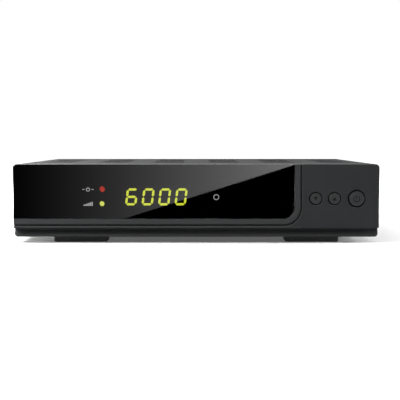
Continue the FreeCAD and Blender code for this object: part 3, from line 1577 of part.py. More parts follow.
def make_cables():
    """Headers, the flat cable to the front board, and the leads between the boards and the inlet."""
    top = "board_top + header_height"
    half = "(ribbon_width / 2 + ribbon_edge)"
    ribbon_x, ribbon_y = "infrared_x", "main_front + header_depth"
    rear = "front_board_back + header_depth"
    reach = "header_depth / 2"
    headers = [
        block((f"{ribbon_x} - {half}", "front_board_back", f"ribbon_z - {reach}"),
              (f"{ribbon_x} + {half}", rear, f"ribbon_z + {reach}")),
        centred(ribbon_x, ribbon_y, f"{half} * 2", "header_depth", "board_top", top),
    ]
    feet = ("power_right - corner_inset", "main_left + corner_inset + header_depth")
    span = "(lead_count + 1) * lead_spacing"
    headers += [centred(x, "lead_y", "header_depth", span, "board_top", top) for x in feet]
    low_top = "board_top + entry_height"
    for x, pitch in (("inlet_x", "pin_pitch"), ("switch_x", "rocker_radius")):
        width = f"{pitch} + entry_edge * 2"
        headers.append(centred(x, "entry_y", width, "entry_length", "board_top", low_top))
    keep("board_headers", *headers)

    route = ((rear, "ribbon_z"), (ribbon_y, "ribbon_z"), (ribbon_y, top))
    path = [spot(ribbon_x, y, z) for y, z in route]
    across, thick = Vector(value("ribbon_width / 2"), 0, 0), Vector(0, 0, value("ribbon_thick / 2"))
    sides = ((-1, -1), (1, -1), (1, 1), (-1, 1))
    corners = [path[0] + across * wide + thick * tall for wide, tall in sides]
    keep_shape("ribbon_cable", swept(path, Part.makePolygon(corners + corners[:1])))

    leads = []
    radius = value("lead_radius")
    for n in range(whole("lead_count")):
        y = f"lead_y + ({n} - (lead_count - 1) / 2) * lead_spacing"
        arch = f"{top} + lead_arch"
        route = ((feet[0], top), (feet[0], arch), (feet[1], arch), (feet[1], top))
        path = [spot(x, y, z) for x, z in route]
        leads.append(swept(path, Part.Wire(Part.makeCircle(radius, path[0], AXES["Z"]))))
    ends = [(f"inlet_x + {side} * pin_pitch / 2", "rear_y - inlet_depth - tail_length") for side in (-1, 1)]
    tail = "rear_y - switch_depth - tail_length"
    ends += [(f"switch_x + {side} * rocker_radius / 2", tail) for side in (-1, 1)]
    for x, end in ends:
        path = [spot(x, end, "mains_z"), spot(x, "entry_y", "mains_z"), spot(x, "entry_y", low_top)]
        leads.append(swept(path, Part.Wire(Part.makeCircle(radius, path[0], AXES["Y"]))))
    keep_shape("power_leads", Part.Compound(leads))


def check_model():
    """Stop unless every object built and every cut cut."""
    for thing in doc.Objects:
        if {"Invalid", "Error"} & set(thing.State):
            raise RuntimeError(f"{thing.Label} failed: {thing.State}")
        if thing.TypeId == "PartDesign::Pocket":
            before = thing.BaseFeature.Shape.Volume
            if before - thing.Shape.Volume < CLOSE:
                raise RuntimeError(thing.Label + " cut nothing")
    for name, part in PARTS.items():
        if part.Shape.isNull() or not part.Shape.isValid():
            raise RuntimeError(name + " has no valid shape")


def main():
    """Build every piece and write each one to its own file."""
    make_front_panel()
    make_window_bezel()
    make_display_window()
    make_window_mask()
    for name in button_holes():
        make_button(name)
    make_button_guide()
    make_switches()
    make_front_board()
    make_display_module()
    make_display_segments()
    make_lamp("power_led", "power_led_z")
    make_lamp("signal_led", "signal_led_z")
    make_infrared_receiver()
    make_top_cover()
    make_chassis_tray()
    make_rear_panel()
    make_feet()
    make_screws()
    make_boards()
    make_processor()
    insulators = make_tuner()
    make_stack(insulators)
    keep("socket_insulators", *insulators)
    make_scart()
    make_rca()
    make_mains_inlet()
    make_power_switch()
    make_power_rocker()
    make_power_parts()
    make_cables()
    doc.recompute()
    check_model()
    os.makedirs("parts", exist_ok=True)
    for name, part in PARTS.items():
        part.Shape.exportStep(os.path.join("parts", name + ".step"))
    print(f"{len(PARTS)} parts written")


main()
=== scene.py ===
"""Finishes, printed marks, small parts and studio of a cable television receiver."""

import json
import math
import random

import bmesh
import bpy
from mathutils import Matrix, Vector


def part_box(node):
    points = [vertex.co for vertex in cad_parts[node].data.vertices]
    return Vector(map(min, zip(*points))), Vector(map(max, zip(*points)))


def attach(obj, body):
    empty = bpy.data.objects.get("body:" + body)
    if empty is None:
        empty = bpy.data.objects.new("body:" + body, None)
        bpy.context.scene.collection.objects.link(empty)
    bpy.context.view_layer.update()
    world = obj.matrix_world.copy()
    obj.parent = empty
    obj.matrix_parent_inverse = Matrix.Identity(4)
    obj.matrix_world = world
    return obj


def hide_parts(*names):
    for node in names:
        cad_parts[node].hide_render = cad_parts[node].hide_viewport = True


bl_info = {
    "name": "Cable Receiver",
    "version": (1, 0, 0),
    "blender": (4, 5, 0),
    "location": "3D View > Sidebar > Receiver",
    "description": "Finishes, marks, small parts and studio for a flat cable television receiver",
    "category": "Object",
}

MM = 0.001
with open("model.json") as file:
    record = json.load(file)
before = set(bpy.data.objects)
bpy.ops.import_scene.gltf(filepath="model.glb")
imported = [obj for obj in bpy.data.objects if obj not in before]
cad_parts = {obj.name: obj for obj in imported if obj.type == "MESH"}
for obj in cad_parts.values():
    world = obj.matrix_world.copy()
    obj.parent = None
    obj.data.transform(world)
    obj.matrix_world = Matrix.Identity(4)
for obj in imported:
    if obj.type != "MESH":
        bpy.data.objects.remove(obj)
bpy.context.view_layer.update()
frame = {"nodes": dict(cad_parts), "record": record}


# Helpers for shader nodes


def screen(red, green, blue):
    """Colour as a shader takes it, from the three numbers that a screen shows it with."""
    shares = (red / 255, green / 255, blue / 255)
    return tuple(s / 12.92 if s <= 0.04045 else ((s + 0.055) / 1.055) ** 2.4 for s in shares)


def scaled(colour, factor):
    """Colour made lighter or darker."""
    return tuple(min(1.0, part * factor) for part in colour[:3])


def set_sockets(tree, sockets, values):
    """Give sockets their numbers or links."""
    for key, value in values.items():
        if isinstance(value, bpy.types.NodeSocket):
            tree.links.new(value, sockets[key])
        else:
            sockets[key].default_value = value


def add(tree, kind, inputs=None, **settings):
    """Add a shader node, with values or links for its sockets, and return it."""
    node = tree.nodes.new("ShaderNode" + kind)
    for name, value in settings.items():
        setattr(node, name, value)
    set_sockets(tree, node.inputs, inputs or {})
    return node


def bare_tree(owner):
    """Empty shader tree of a material or a world."""
    owner.use_nodes = True
    owner.node_tree.nodes.clear()
    return owner.node_tree


def count(tree, operation, *values):
    """Math node's result."""
    return add(tree, "Math", dict(enumerate(values)), operation=operation).outputs[0]


def times(tree, first, second):
    """Product of two values."""
    return count(tree, "MULTIPLY", first, second)


def spread(tree, value, low, high, from_low=0.0, from_high=1.0, smooth=False):
    """Value moved from one range to another."""
    inputs = {"Value": value, "From Min": from_low, "From Max": from_high, "To Min": low, "To Max": high}
    kind = "SMOOTHSTEP" if smooth else "LINEAR"
    return add(tree, "MapRange", inputs, interpolation_type=kind).outputs["Result"]


def blend_colour(tree, mask, first, second):
    """Mix of two colours by a mask."""
    node = add(tree, "Mix", {"Factor": mask}, data_type="RGBA")
    for socket, colour in ((node.inputs[6], first), (node.inputs[7], second)):
        if isinstance(colour, bpy.types.NodeSocket):
            tree.links.new(colour, socket)
        else:
            socket.default_value = (*colour[:3], 1.0)
    return node.outputs[2]


def place_of(tree):
    """The point on the piece, as the three numbers of its Object coordinates."""
    coordinates = add(tree, "TexCoord").outputs["Object"]
    split = add(tree, "SeparateXYZ", {0: coordinates})
    return coordinates, split.outputs[0], split.outputs[1], split.outputs[2]


def normal_of(tree):
    """The surface's normal, as three numbers."""
    return add(tree, "SeparateXYZ", {0: add(tree, "NewGeometry").outputs["Normal"]}).outputs


def noise(tree, vector, scale, detail=2.0, stretch=None):
    """Noise at a scale per metre, drawn out along an axis if stretch is given."""
    if stretch:
        vector = add(tree, "Mapping", {"Vector": vector, "Scale": stretch}).outputs[0]
    return add(tree, "TexNoise", {"Vector": vector, "Scale": scale, "Detail": detail}).outputs["Fac"]


# Effects that several finishes share


def effect(name, inputs, outputs, build):
    """Node group with named sockets; build adds its nodes and returns the output values by name."""
    if name in bpy.data.node_groups:
        return bpy.data.node_groups[name]
    tree = bpy.data.node_groups.new(name, "ShaderNodeTree")
    for socket, default in inputs.items():
        made = tree.interface.new_socket(socket, in_out="INPUT", socket_type="NodeSocketFloat")
        made.default_value = default
    for socket in outputs:
        tree.interface.new_socket(socket, in_out="OUTPUT", socket_type="NodeSocketFloat")
    entry, leave = tree.nodes.new("NodeGroupInput"), tree.nodes.new("NodeGroupOutput")
    for socket, value in build(tree, entry.outputs).items():
        tree.links.new(value, leave.inputs[socket])
    return tree


def grain_effect():
    """Fine surface texture of a moulding or of paint, with a slow drift of tone."""

    def build(tree, sockets):
        point, *_ = place_of(tree)
        fine = noise(tree, point, sockets["Scale"], 3.0)
        cells = add(tree, "TexVoronoi", {"Vector": point, "Scale": sockets["Scale"]}).outputs["Distance"]
        height = count(tree, "MULTIPLY_ADD", cells, sockets["Cells"], fine)
        drift = noise(tree, point, sockets["Drift Scale"], 2.0)
        return {"Height": height, "Drift": spread(tree, drift, 0.0, 1.0, 0.3, 0.7)}

    inputs = {"Scale": 2500.0, "Cells": 0.3, "Drift Scale": 30.0}
    return effect("Surface Grain", inputs, ("Height", "Drift"), build)


def rub_effect():
    """Rubbed patches and hair-fine scratches from handling, as a mask."""

    def build(tree, sockets):
        point, *_ = place_of(tree)
        patches = spread(tree, noise(tree, point, sockets["Patch Scale"], 4.0), 0.0, 1.0, 0.45, 0.7)
        hairs = noise(tree, point, sockets["Hair Scale"], 2.0, (0.06, 1.0, 0.9))
        hairs = spread(tree, hairs, 0.0, 1.0, 0.6, 0.75)
        return {"Mask": count(tree, "MAXIMUM", patches, times(tree, hairs, 0.6))}

    return effect("Rub Marks", {"Patch Scale": 40.0, "Hair Scale": 900.0}, ("Mask",), build)


def dust_effect():
    """Dust that has settled on what faces up, as a mask."""

    def build(tree, sockets):
        point, *_ = place_of(tree)
        up = spread(tree, normal_of(tree)[2], 0.0, 1.0, 0.5, 1.0)
        specks = spread(tree, noise(tree, point, 1800.0, 3.0), 0.0, 1.0, 0.5, 0.72)
        film = spread(tree, noise(tree, point, 25.0, 3.0), 0.2, 1.0, 0.3, 0.7)
        lying = times(tree, up, count(tree, "MULTIPLY_ADD", specks, 0.6, film))
        return {"Mask": times(tree, lying, sockets["Amount"])}

    return effect("Settled Dust", {"Amount": 0.1}, ("Mask",), build)


def spangle_effect():
    """Crystals of a zinc or tin coat: a tone for each, and rolling lines."""

    def build(tree, sockets):
        point, *_ = place_of(tree)
        cells = add(tree, "TexVoronoi", {"Vector": point, "Scale": sockets["Scale"]}).outputs["Color"]
        tone = add(tree, "SeparateColor", {0: cells}).outputs[0]
        lines = noise(tree, point, 1200.0, 2.0, (0.03, 1.0, 1.0))
        return {"Tone": tone, "Lines": lines}

    return effect("Coat Crystals", {"Scale": 220.0}, ("Tone", "Lines"), build)


def board_effect():
    """Copper lines, plated holes and glass weave of a printed board."""

    def build(tree, sockets):
        _, across, along, _ = place_of(tree)
        flat = add(tree, "CombineXYZ", {0: across, 1: along}).outputs[0]
        blocks = add(
            tree, "TexVoronoi", {"Vector": flat, "Scale": sockets["Scale"], "Randomness": 0.9},
            distance="MANHATTAN",
        )
        rings = count(tree, "FRACT", times(tree, blocks.outputs["Distance"], 5.0))
        lines = spread(tree, rings, 1.0, 0.0, 0.42, 0.5)
        dots = add(tree, "TexVoronoi", {"Vector": flat, "Scale": sockets["Hole Scale"]}).outputs["Distance"]
        holes = count(tree, "LESS_THAN", dots, 0.13)
        weave = add(
            tree, "TexWave", {"Vector": flat, "Scale": 900.0, "Distortion": 0.4}, bands_direction="DIAGONAL"
        )
        return {"Lines": lines, "Holes": holes, "Weave": weave.outputs["Fac"]}

    inputs = {"Scale": 150.0, "Hole Scale": 260.0}
    return effect("Board Copper", inputs, ("Lines", "Holes", "Weave"), build)


# Finishes: each function returns the values or links of the Principled shader's sockets


def use_effect(tree, group, **values):
    """Place a shared effect in a material and return its outputs."""
    node = tree.nodes.new("ShaderNodeGroup")
    node.node_tree = group
    for name, value in values.items():
        node.inputs[name.replace("_", " ")].default_value = value
    return node.outputs


def new_material(name):
    """Material with a Principled shader, as (material, its tree, the shader's inputs)."""
    material = bpy.data.materials.new(name)
    tree = bare_tree(material)
    shader = add(tree, "BsdfPrincipled")
    output = add(tree, "OutputMaterial", {"Surface": shader.outputs[0]})
    shader.location, output.location = (300, 0), (600, 0)
    return material, tree, shader.inputs


def raised(tree, height, depth, strength=1.0):
    """Normal from a height, where depth is in metres."""
    inputs = {"Height": height, "Distance": depth, "Strength": strength}
    return add(tree, "Bump", inputs).outputs["Normal"]


def moulded(tree, colour, roughness, grain=2500.0, depth=8e-6, drift=0.12, rub=0.06, dust=0.06,
            sign_fill_and_shade_depth=None, edge=0.0, strip=None):
    """Injection-moulded plastic: spark texture, slow drift of tone, rubbed patches and dust.

    What lies further back than the given depth along Y is made near black: the floors of engraved
    signs, and painted shade on what shows through the gap round a button.
    Rounded edges of a front get a painted highlight, as strong as edge says. A strip, given by two corners, a
    colour and how strong it is, has another tone.
    """
    texture = use_effect(tree, grain_effect(), Scale=grain)
    rubbed = use_effect(tree, rub_effect())["Mask"]
    dusty = use_effect(tree, dust_effect(), Amount=dust)["Mask"]
    tone = blend_colour(tree, texture["Drift"], scaled(colour, 1 - drift), scaled(colour, 1 + drift))
    if strip:
        (low, high), other, share = strip
        _, across, _, up = place_of(tree)
        inside = [count(tree, "COMPARE", value, (low[axis] + high[axis]) / 2, (high[axis] - low[axis]) / 2)
                  for value, axis in ((across, 0), (up, 2))]
        tone = blend_colour(tree, times(tree, times(tree, *inside), share), tone, other)
    if edge:
        # Painted highlight: bevels that turn away from the front are painted lighter, up to three times the
        # colour, as if they caught the lamp.
        facing = normal_of(tree)[1]
        painted_edge_highlight = spread(tree, facing, 0.0, edge, -0.97, -0.8)
        fading = spread(tree, facing, 1.0, 0.0, -0.3, 0.0)
        tone = blend_colour(tree, times(tree, painted_edge_highlight, fading), tone, scaled(colour, 3.0))
    tone = blend_colour(tree, dusty, tone, screen(150, 144, 134))
    if sign_fill_and_shade_depth is not None:
        # Near black behind that depth: the engraved signs' floors, and painted shade in the gap round a
        # button.
        paint = count(tree, "GREATER_THAN", place_of(tree)[2], sign_fill_and_shade_depth)
        tone = blend_colour(tree, paint, tone, (0.002, 0.002, 0.002))
        rubbed = count(tree, "SUBTRACT", rubbed, times(tree, paint, 4.0))
    return {
        "Base Color": tone,
        "Roughness": spread(tree, rubbed, roughness, roughness - rub) if sign_fill_and_shade_depth is None else
        count(tree, "MULTIPLY_ADD", rubbed, -rub, roughness),
        "Normal": raised(tree, texture["Height"], depth),
    }


def painted(tree, colour, roughness, grain=1600.0, depth=2.2e-5, dust=0.12):
    """Powder-coated steel: orange-peel cells, dust on top and rubbed patches."""
    texture = use_effect(tree, grain_effect(), Scale=grain, Cells=1.0, Drift_Scale=18.0)
    rubbed = use_effect(tree, rub_effect(), Patch_Scale=22.0)["Mask"]
    dusty = use_effect(tree, dust_effect(), Amount=dust)["Mask"]
    tone = blend_colour(tree, texture["Drift"], scaled(colour, 0.88), scaled(colour, 1.1))
    return {
        "Base Color": blend_colour(tree, dusty, tone, screen(158, 152, 142)),
        "Roughness": spread(tree, rubbed, roughness, roughness - 0.1),
        "Normal": raised(tree, texture["Height"], depth),
    }


def plated(tree, colour, roughness, crystals=220.0, lines=3e-6, contrast=0.12):
    """Plated or coated metal with crystals, rolling lines and handling marks."""
    coat = use_effect(tree, spangle_effect(), Scale=crystals)
    rubbed = use_effect(tree, rub_effect(), Patch_Scale=90.0)["Mask"]
    shine = count(tree, "MULTIPLY_ADD", coat["Tone"], 0.1, spread(tree, rubbed, roughness, roughness + 0.12))
    return {
        "Base Color": blend_colour(tree, coat["Tone"], scaled(colour, 1 - contrast), colour),
        "Roughness": shine,
        "Normal": raised(tree, coat["Lines"], lines),
        "Metallic": 1.0,
    }


def smoked_window(tree, tint):
    """Dark clear acrylic, polished, with the faint swirl of wiping."""
    point, *_ = place_of(tree)
    wiped = use_effect(tree, rub_effect(), Patch_Scale=55.0, Hair_Scale=500.0)["Mask"]
    wave = noise(tree, point, 9.0, 1.0)
    cloud = noise(tree, point, 60.0, 2.0)
    return {
        "Base Color": blend_colour(tree, cloud, scaled(tint, 0.96), tint),
        "Roughness": spread(tree, wiped, 0.015, 0.04),
        "Normal": raised(tree, wave, 4e-6, 0.4),
        "Transmission Weight": 1.0,
        "IOR": 1.49,
    }


def glowing(tree, colour, light, strength, centre, radius):
    """Lit lens or digit bar: coloured resin, brightest in its middle."""
    point, *_ = place_of(tree)
    away = add(tree, "VectorMath", {0: point, 1: centre}, operation="DISTANCE").outputs["Value"]
    cloud = spread(tree, noise(tree, point, 900.0, 2.0), 0.9, 1.1)
    lit = times(tree, spread(tree, away, 1.0, 0.72, 0.0, radius), cloud)
    return {
        "Base Color": blend_colour(tree, cloud, scaled(colour, 0.8), colour),
        "Emission Color": blend_colour(tree, lit, (0.0, 0.0, 0.0), light),
        "Emission Strength": strength,
        "Roughness": spread(tree, noise(tree, point, 300.0), 0.2, 0.35),
    }


def printed_board(tree, mask, copper, holes, crowded=150.0):
    """Printed board: lacquer over copper lines, plated holes and the weave below it."""
    board = use_effect(tree, board_effect(), Scale=crowded)
    lacquer = blend_colour(tree, board["Lines"], mask, copper)
    height = count(tree, "MULTIPLY_ADD", board["Weave"], 0.15, board["Lines"])
    return {
        "Base Color": blend_colour(tree, board["Holes"], lacquer, holes),
        "Metallic": times(tree, board["Holes"], 0.9),
        "Roughness": spread(tree, board["Holes"], 0.35, 0.25),
        "Normal": raised(tree, height, 3.5e-5),
        "Coat Weight": 0.25,
    }


def wound_core(tree, core, tape, box):
    """Transformer: grey ferrite, with tape wherever the coil stands out of it."""
    _, _, along, up = place_of(tree)
    low, high = box
    coil, turn = 2.1 * MM, 1.4 * MM
    past = count(tree, "MAXIMUM", count(tree, "SUBTRACT", low.y + coil, along),
                 count(tree, "SUBTRACT", along, high.y - coil))
    mask = count(tree, "MAXIMUM", count(tree, "GREATER_THAN", past, 0.0),
                 count(tree, "GREATER_THAN", up, high.z - coil))
    bands = count(tree, "PINGPONG", up, turn)
    texture = use_effect(tree, grain_effect(), Scale=1500.0)
    stone = blend_colour(tree, texture["Drift"], core, scaled(core, 1.4))
    wrap = blend_colour(tree, spread(tree, bands, 0.0, 1.0, 0.0, turn), tape, scaled(tape, 0.7))
    return {
        "Base Color": blend_colour(tree, mask, stone, wrap),
        "Roughness": spread(tree, mask, 0.75, 0.4),
        "Normal": raised(tree, texture["Height"], 2e-5),
    }


def striped_cable(tree, jacket, edge, box, pitch):
    """Flat cable: a rib for each wire and one marked edge."""
    point, across, _, _ = place_of(tree)
    ribs = count(tree, "PINGPONG", count(tree, "SUBTRACT", across, box[0].x), pitch / 2)
    marked = count(tree, "LESS_THAN", across, box[0].x + pitch)
    # Painted shade: the grooves between the wires are painted darker, down to 0.55 of the jacket's colour.
    crest = spread(tree, ribs, 0.0, 1.0, 0.0, pitch / 2)
    grey = blend_colour(tree, crest, scaled(jacket, 0.55), jacket)
    return {
        "Base Color": blend_colour(tree, marked, grey, edge),
        "Roughness": spread(tree, noise(tree, point, 200.0), 0.42, 0.55),
        "Normal": raised(tree, ribs, 4e-4),
    }


def capped_fuse(tree, box):
    """Glass fuse in its clips: plated ends, clear glass between them."""
    point, _, along, _ = place_of(tree)
    middle, clear_half = (box[0].y + box[1].y) / 2, 6 * MM
    away = count(tree, "ABSOLUTE", count(tree, "SUBTRACT", along, middle))
    ends = count(tree, "GREATER_THAN", away, clear_half)
    fine = noise(tree, point, 700.0)
    glass = blend_colour(tree, fine, screen(196, 206, 204), screen(226, 232, 230))
    return {
        "Base Color": blend_colour(tree, ends, glass, screen(196, 192, 182)),
        "Metallic": times(tree, ends, 0.95),
        "Roughness": spread(tree, ends, 0.08, 0.3),
        "Normal": raised(tree, fine, 3e-6),
    }


SATIN = {"Specular IOR Level": 0.12}

# Finishes that take numbers alone: the colour as a screen shows it, then what the function takes.
PLAIN_FINISHES = {
    moulded: {
        "mask_film": ((5, 5, 5), 0.75, 1800.0, 1e-6, 0.3, 0.05, 0.0),
        "chip_resin": ((26, 26, 27), 0.55, 3400.0, 1.2e-5, 0.1),
        "white_plastic": ((222, 218, 206), 0.42, 2000.0, 5e-6, 0.04),
        "black_plastic": ((24, 24, 25), 0.42, 2200.0, 8e-6, 0.12),
        "yellow_plastic": ((226, 186, 30), 0.36, 2200.0, 5e-6, 0.05),
        "white_insert": ((228, 226, 218), 0.36, 2200.0, 5e-6, 0.03),
        "red_plastic": ((186, 30, 26), 0.36, 2200.0, 5e-6, 0.06),
        "orange_plastic": ((222, 112, 26), 0.36, 2200.0, 5e-6, 0.05),
        "capacitor_sleeve": ((30, 34, 62), 0.3, 900.0, 3e-6, 0.1),
        "filter_case": ((196, 170, 60), 0.4, 1400.0, 8e-6, 0.08),
        "lead_jacket": ((34, 36, 42), 0.4, 1200.0, 6e-6, 0.15),
        "ceramic": ((166, 132, 96), 0.5, 3000.0, 6e-6, 0.1),
    },
    painted: {"rear_paint": ((34, 34, 36), 0.5, 1900.0, 1.6e-5, 0.05)},
    plated: {
        "tray_steel": ((176, 179, 180), 0.34, 140.0),
        "screw_steel": ((190, 186, 172), 0.28, 900.0, 2e-6, 0.08),
        "black_screw": ((52, 52, 55), 0.36, 1200.0, 2e-6, 0.2),
        "pillar_brass": ((206, 172, 98), 0.28, 800.0, 2e-6, 0.1),
        "sink_aluminium": ((198, 200, 202), 0.36, 600.0, 6e-6, 0.08),
        "tin_plate": ((204, 203, 198), 0.26, 260.0, 3e-6, 0.1),
        "nickel": ((208, 202, 188), 0.2, 1400.0, 1.5e-6, 0.06),
        "solder": ((202, 202, 200), 0.25, 1800.0, 2e-6, 0.08),
        "can_top": ((206, 207, 208), 0.3, 1000.0, 3e-6, 0.06),
    },
}


def finish_table(colours):
    """Every finish by its material slot: its function, what that takes, and further sockets' values."""
    segment = (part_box("display_segments")[0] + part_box("display_segments")[1]) / 2
    low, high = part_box("window_bezel")
    lip = (Vector((low.x, 0, low.z - 1.25 * MM)), Vector((high.x, 0, low.z)))
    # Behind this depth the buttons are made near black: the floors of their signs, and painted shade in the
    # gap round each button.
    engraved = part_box("button_power")[0].y + 0.12 * MM
    lens = {"Coat Weight": 0.6}
    table = {
        # The front and the buttons get a painted highlight on their rounded edges (0.32 and 0.45).
        "front_plastic": (moulded, colours.front, 0.6, 2600.0, 7e-6, 0.08, 0.08, 0.03, None, 0.32,
                          (lip, colours.bezel, 0.6), SATIN),
        "bezel_plastic": (moulded, colours.bezel, 0.45, 3200.0, 4e-6, 0.06, 0.06, 0.03, SATIN),
        "button_plastic": (moulded, colours.buttons, 0.34, 3200.0, 4e-6, 0.05, 0.06, 0.02, engraved, 0.45,
                           SATIN),
        "window_acrylic": (smoked_window, colours.window),
        "lit_segment": (glowing, screen(240, 240, 150), colours.digits, 15.0, segment, 0.2),
        "red_lens": (glowing, screen(150, 14, 10), colours.power_lamp, 16.0, centre_of("power_led"),
                     4 * MM, lens),
        "yellow_lens": (glowing, screen(190, 180, 40), colours.signal_lamp, 19.0, centre_of("signal_led"),
                        4 * MM, lens),
        "display_case": (moulded, screen(5, 5, 6), 0.75, 2400.0, 6e-6, 0.2, 0.05, 0.0, SATIN),
        "dark_lens": (moulded, screen(20, 12, 22), 0.14, 900.0, 1e-6, 0.2, 0.05, 0.0, {"Coat Weight": 0.5}),
        "cover_paint": (painted, colours.cover, 0.85, 1600.0, 2.2e-5, 0.035, SATIN),
        "foot_rubber": (moulded, screen(106, 106, 107), 0.7, 1500.0, 1.5e-5, 0.15, 0.1, 0.04, SATIN),
        "green_board": (printed_board, screen(14, 70, 38), screen(30, 98, 54), screen(196, 176, 110)),
        "paper_board": (printed_board, screen(168, 132, 78), screen(178, 144, 92), screen(178, 176, 170),
                        60.0),
        "ferrite": (wound_core, screen(58, 58, 60), screen(214, 178, 44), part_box("transformer")),
        "ribbon_grey": (striped_cable, screen(178, 178, 176), screen(150, 34, 30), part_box("ribbon_cable"),
                        1.27 * MM),
        "fuse_glass": (capped_fuse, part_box("fuse")),
        "white_ink": (moulded, colours.ink, 0.55, 5000.0, 2e-6, 0.06, 0.05, 0.0),
    }
    for function, group in PLAIN_FINISHES.items():
        for name, (levels, *values) in group.items():
            table[name] = (function, screen(*levels), *values)
    return table


def finish(name):
    """Material of a finish, made on first use."""
    if name not in bpy.data.materials or "receiver" not in bpy.data.materials[name]:
        spare = bpy.data.materials.get(name)
        if spare:
            spare.name = "packed_" + name
        function, *values = finish_table(bpy.context.scene.receiver_colours)[name]
        further = values.pop() if isinstance(values[-1], dict) else {}
        material, tree, sockets = new_material(name)
        set_sockets(tree, sockets, {**function(tree, *values), **further})
        material["receiver"] = True
    return bpy.data.materials[name]


def dress(*nodes):
    """Give CAD nodes the finish of their own material slot."""
    slots = {part["node"]: part["material_slot"] for part in frame["record"]["subparts"]}
    for node in nodes:
        for place in frame["nodes"][node].material_slots:
            place.material = finish(slots[node])


# Helpers for pieces


def centre_of(node):
    """Middle of a CAD node's box."""
    low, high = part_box(node)
    return (low + high) / 2


def new_mesh(name, form):
    """Mesh that takes over a bmesh."""
    mesh = bpy.data.meshes.new(name)
    form.to_mesh(mesh)
    form.free()
    return mesh


def new_object(name, data):
    """Object of the scene with some data."""
    thing = bpy.data.objects.new(name, data)
    bpy.context.scene.collection.objects.link(thing)
    return thing


def keep_piece(name, form, slot, body="case", look=None, angle=35.0):
    """Turn a bmesh into a piece that rides on a body, with soft shading below an angle."""
    bmesh.ops.remove_doubles(form, verts=form.verts, dist=1e-7)
    bmesh.ops.recalc_face_normals(form, faces=form.faces)
    mesh = new_mesh(name, form)
    mesh.shade_smooth()
    mesh.set_sharp_from_angle(angle=math.radians(angle))
    mesh.materials.append(finish(look or slot))
    piece = new_object(name, mesh)
    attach(piece, body)
    return piece


def moved(form, verts, place, turn=None):
    """Turn and move vertices."""
    matrix = Matrix.Translation(place)
    if turn:
        matrix = matrix @ turn
    bmesh.ops.transform(form, matrix=matrix, verts=verts)


def added(form, before):
    """Vertices that a form has and didn't have before."""
    return [vert for vert in form.verts if vert not in before]


def bevel(form, edges, width, steps=2):
    """Round edges."""
    bmesh.ops.bevel(form, geom=edges, offset=width, affect="EDGES", segments=steps, profile=0.5, material=-1)


def plate(form, width, height, thick, place, turn=None, rounding=0.0):
    """Small block lying in its own XY plane, centred on a place."""
    made = bmesh.ops.create_cube(form, size=1.0)["verts"]
    bmesh.ops.scale(form, vec=(width, height, thick), verts=made)
    if rounding:
        edges = list({edge for vert in made for edge in vert.link_edges})
        before = set(form.verts) - set(made)
        bevel(form, edges, rounding)
        made = added(form, before)
    moved(form, made, place, turn)
    return made


def arc_band(form, inner, outer, thick, angle, start, place, turn=None, steps=32):
    """Flat band of a ring from a starting angle, lying in its own XY plane."""
    first = [form.verts.new((x, 0, z)) for x, z in
             ((inner, -thick / 2), (outer, -thick / 2), (outer, thick / 2), (inner, thick / 2))]
    face = form.faces.new(first)
    full = abs(angle) >= 360
    before = set(form.verts) - set(first)
    moved(form, first, (0, 0, 0), Matrix.Rotation(math.radians(start), 4, "Z"))
    geometry = [face, *face.edges, *first]
    bmesh.ops.spin(form, geom=geometry, cent=(0, 0, 0), axis=(0, 0, 1), angle=math.radians(angle),
                   steps=steps, use_merge=full, use_duplicate=False)
    if full:
        bmesh.ops.delete(form, geom=[f for f in form.faces if f.is_valid and f == face], context="FACES")
    made = added(form, before)
    moved(form, made, place, turn)
    return made


def lathe(form, profile, place, turn=None, steps=32):
    """Closed round form from a profile of (radius, height) points round its own Z axis."""
    before = set(form.verts)
    verts = [form.verts.new((radius, 0, height)) for radius, height in profile]
    edges = [form.edges.new(pair) for pair in zip(verts, verts[1:])]
    bmesh.ops.spin(form, geom=verts + edges, cent=(0, 0, 0), axis=(0, 0, 1), angle=math.tau,
                   steps=steps, use_merge=True)
    made = added(form, before)
    bmesh.ops.remove_doubles(form, verts=made, dist=1e-7)
    made = added(form, before)
    moved(form, made, place, turn)
    return made


FACING_FRONT = Matrix.Rotation(math.radians(90), 4, "X")
FACING_REAR = Matrix.Rotation(math.radians(-90), 4, "X")


# What a user would change


class ReceiverColours(bpy.types.PropertyGroup):
    """Colours of the finishes that show."""

    front: bpy.props.FloatVectorProperty(
        name="Front", description="Moulded front", subtype="COLOR", default=screen(52, 53, 54))
    bezel: bpy.props.FloatVectorProperty(
        name="Band", description="Band beside and below the window",
        subtype="COLOR", default=screen(66, 67, 68))
    buttons: bpy.props.FloatVectorProperty(
        name="Buttons", description="Push buttons", subtype="COLOR", default=screen(59, 60, 61))
    window: bpy.props.FloatVectorProperty(
        name="Window", description="Tint of the smoked window", subtype="COLOR", default=(0.06, 0.06, 0.063))
    cover: bpy.props.FloatVectorProperty(
        name="Cover", description="Paint of the folded cover", subtype="COLOR", default=screen(38, 39, 41))
    digits: bpy.props.FloatVectorProperty(
        name="Digits", description="Light of the digits", subtype="COLOR", default=screen(225, 235, 62))
    power_lamp: bpy.props.FloatVectorProperty(
        name="Power lamp", description="Light of the upper lamp",
        subtype="COLOR", default=screen(200, 52, 32))
    signal_lamp: bpy.props.FloatVectorProperty(
        name="Signal lamp", description="Light of the lower lamp",
        subtype="COLOR", default=screen(236, 242, 104))
    ink: bpy.props.FloatVectorProperty(
        name="Ink", description="Printed marks", subtype="COLOR", default=screen(206, 207, 208))


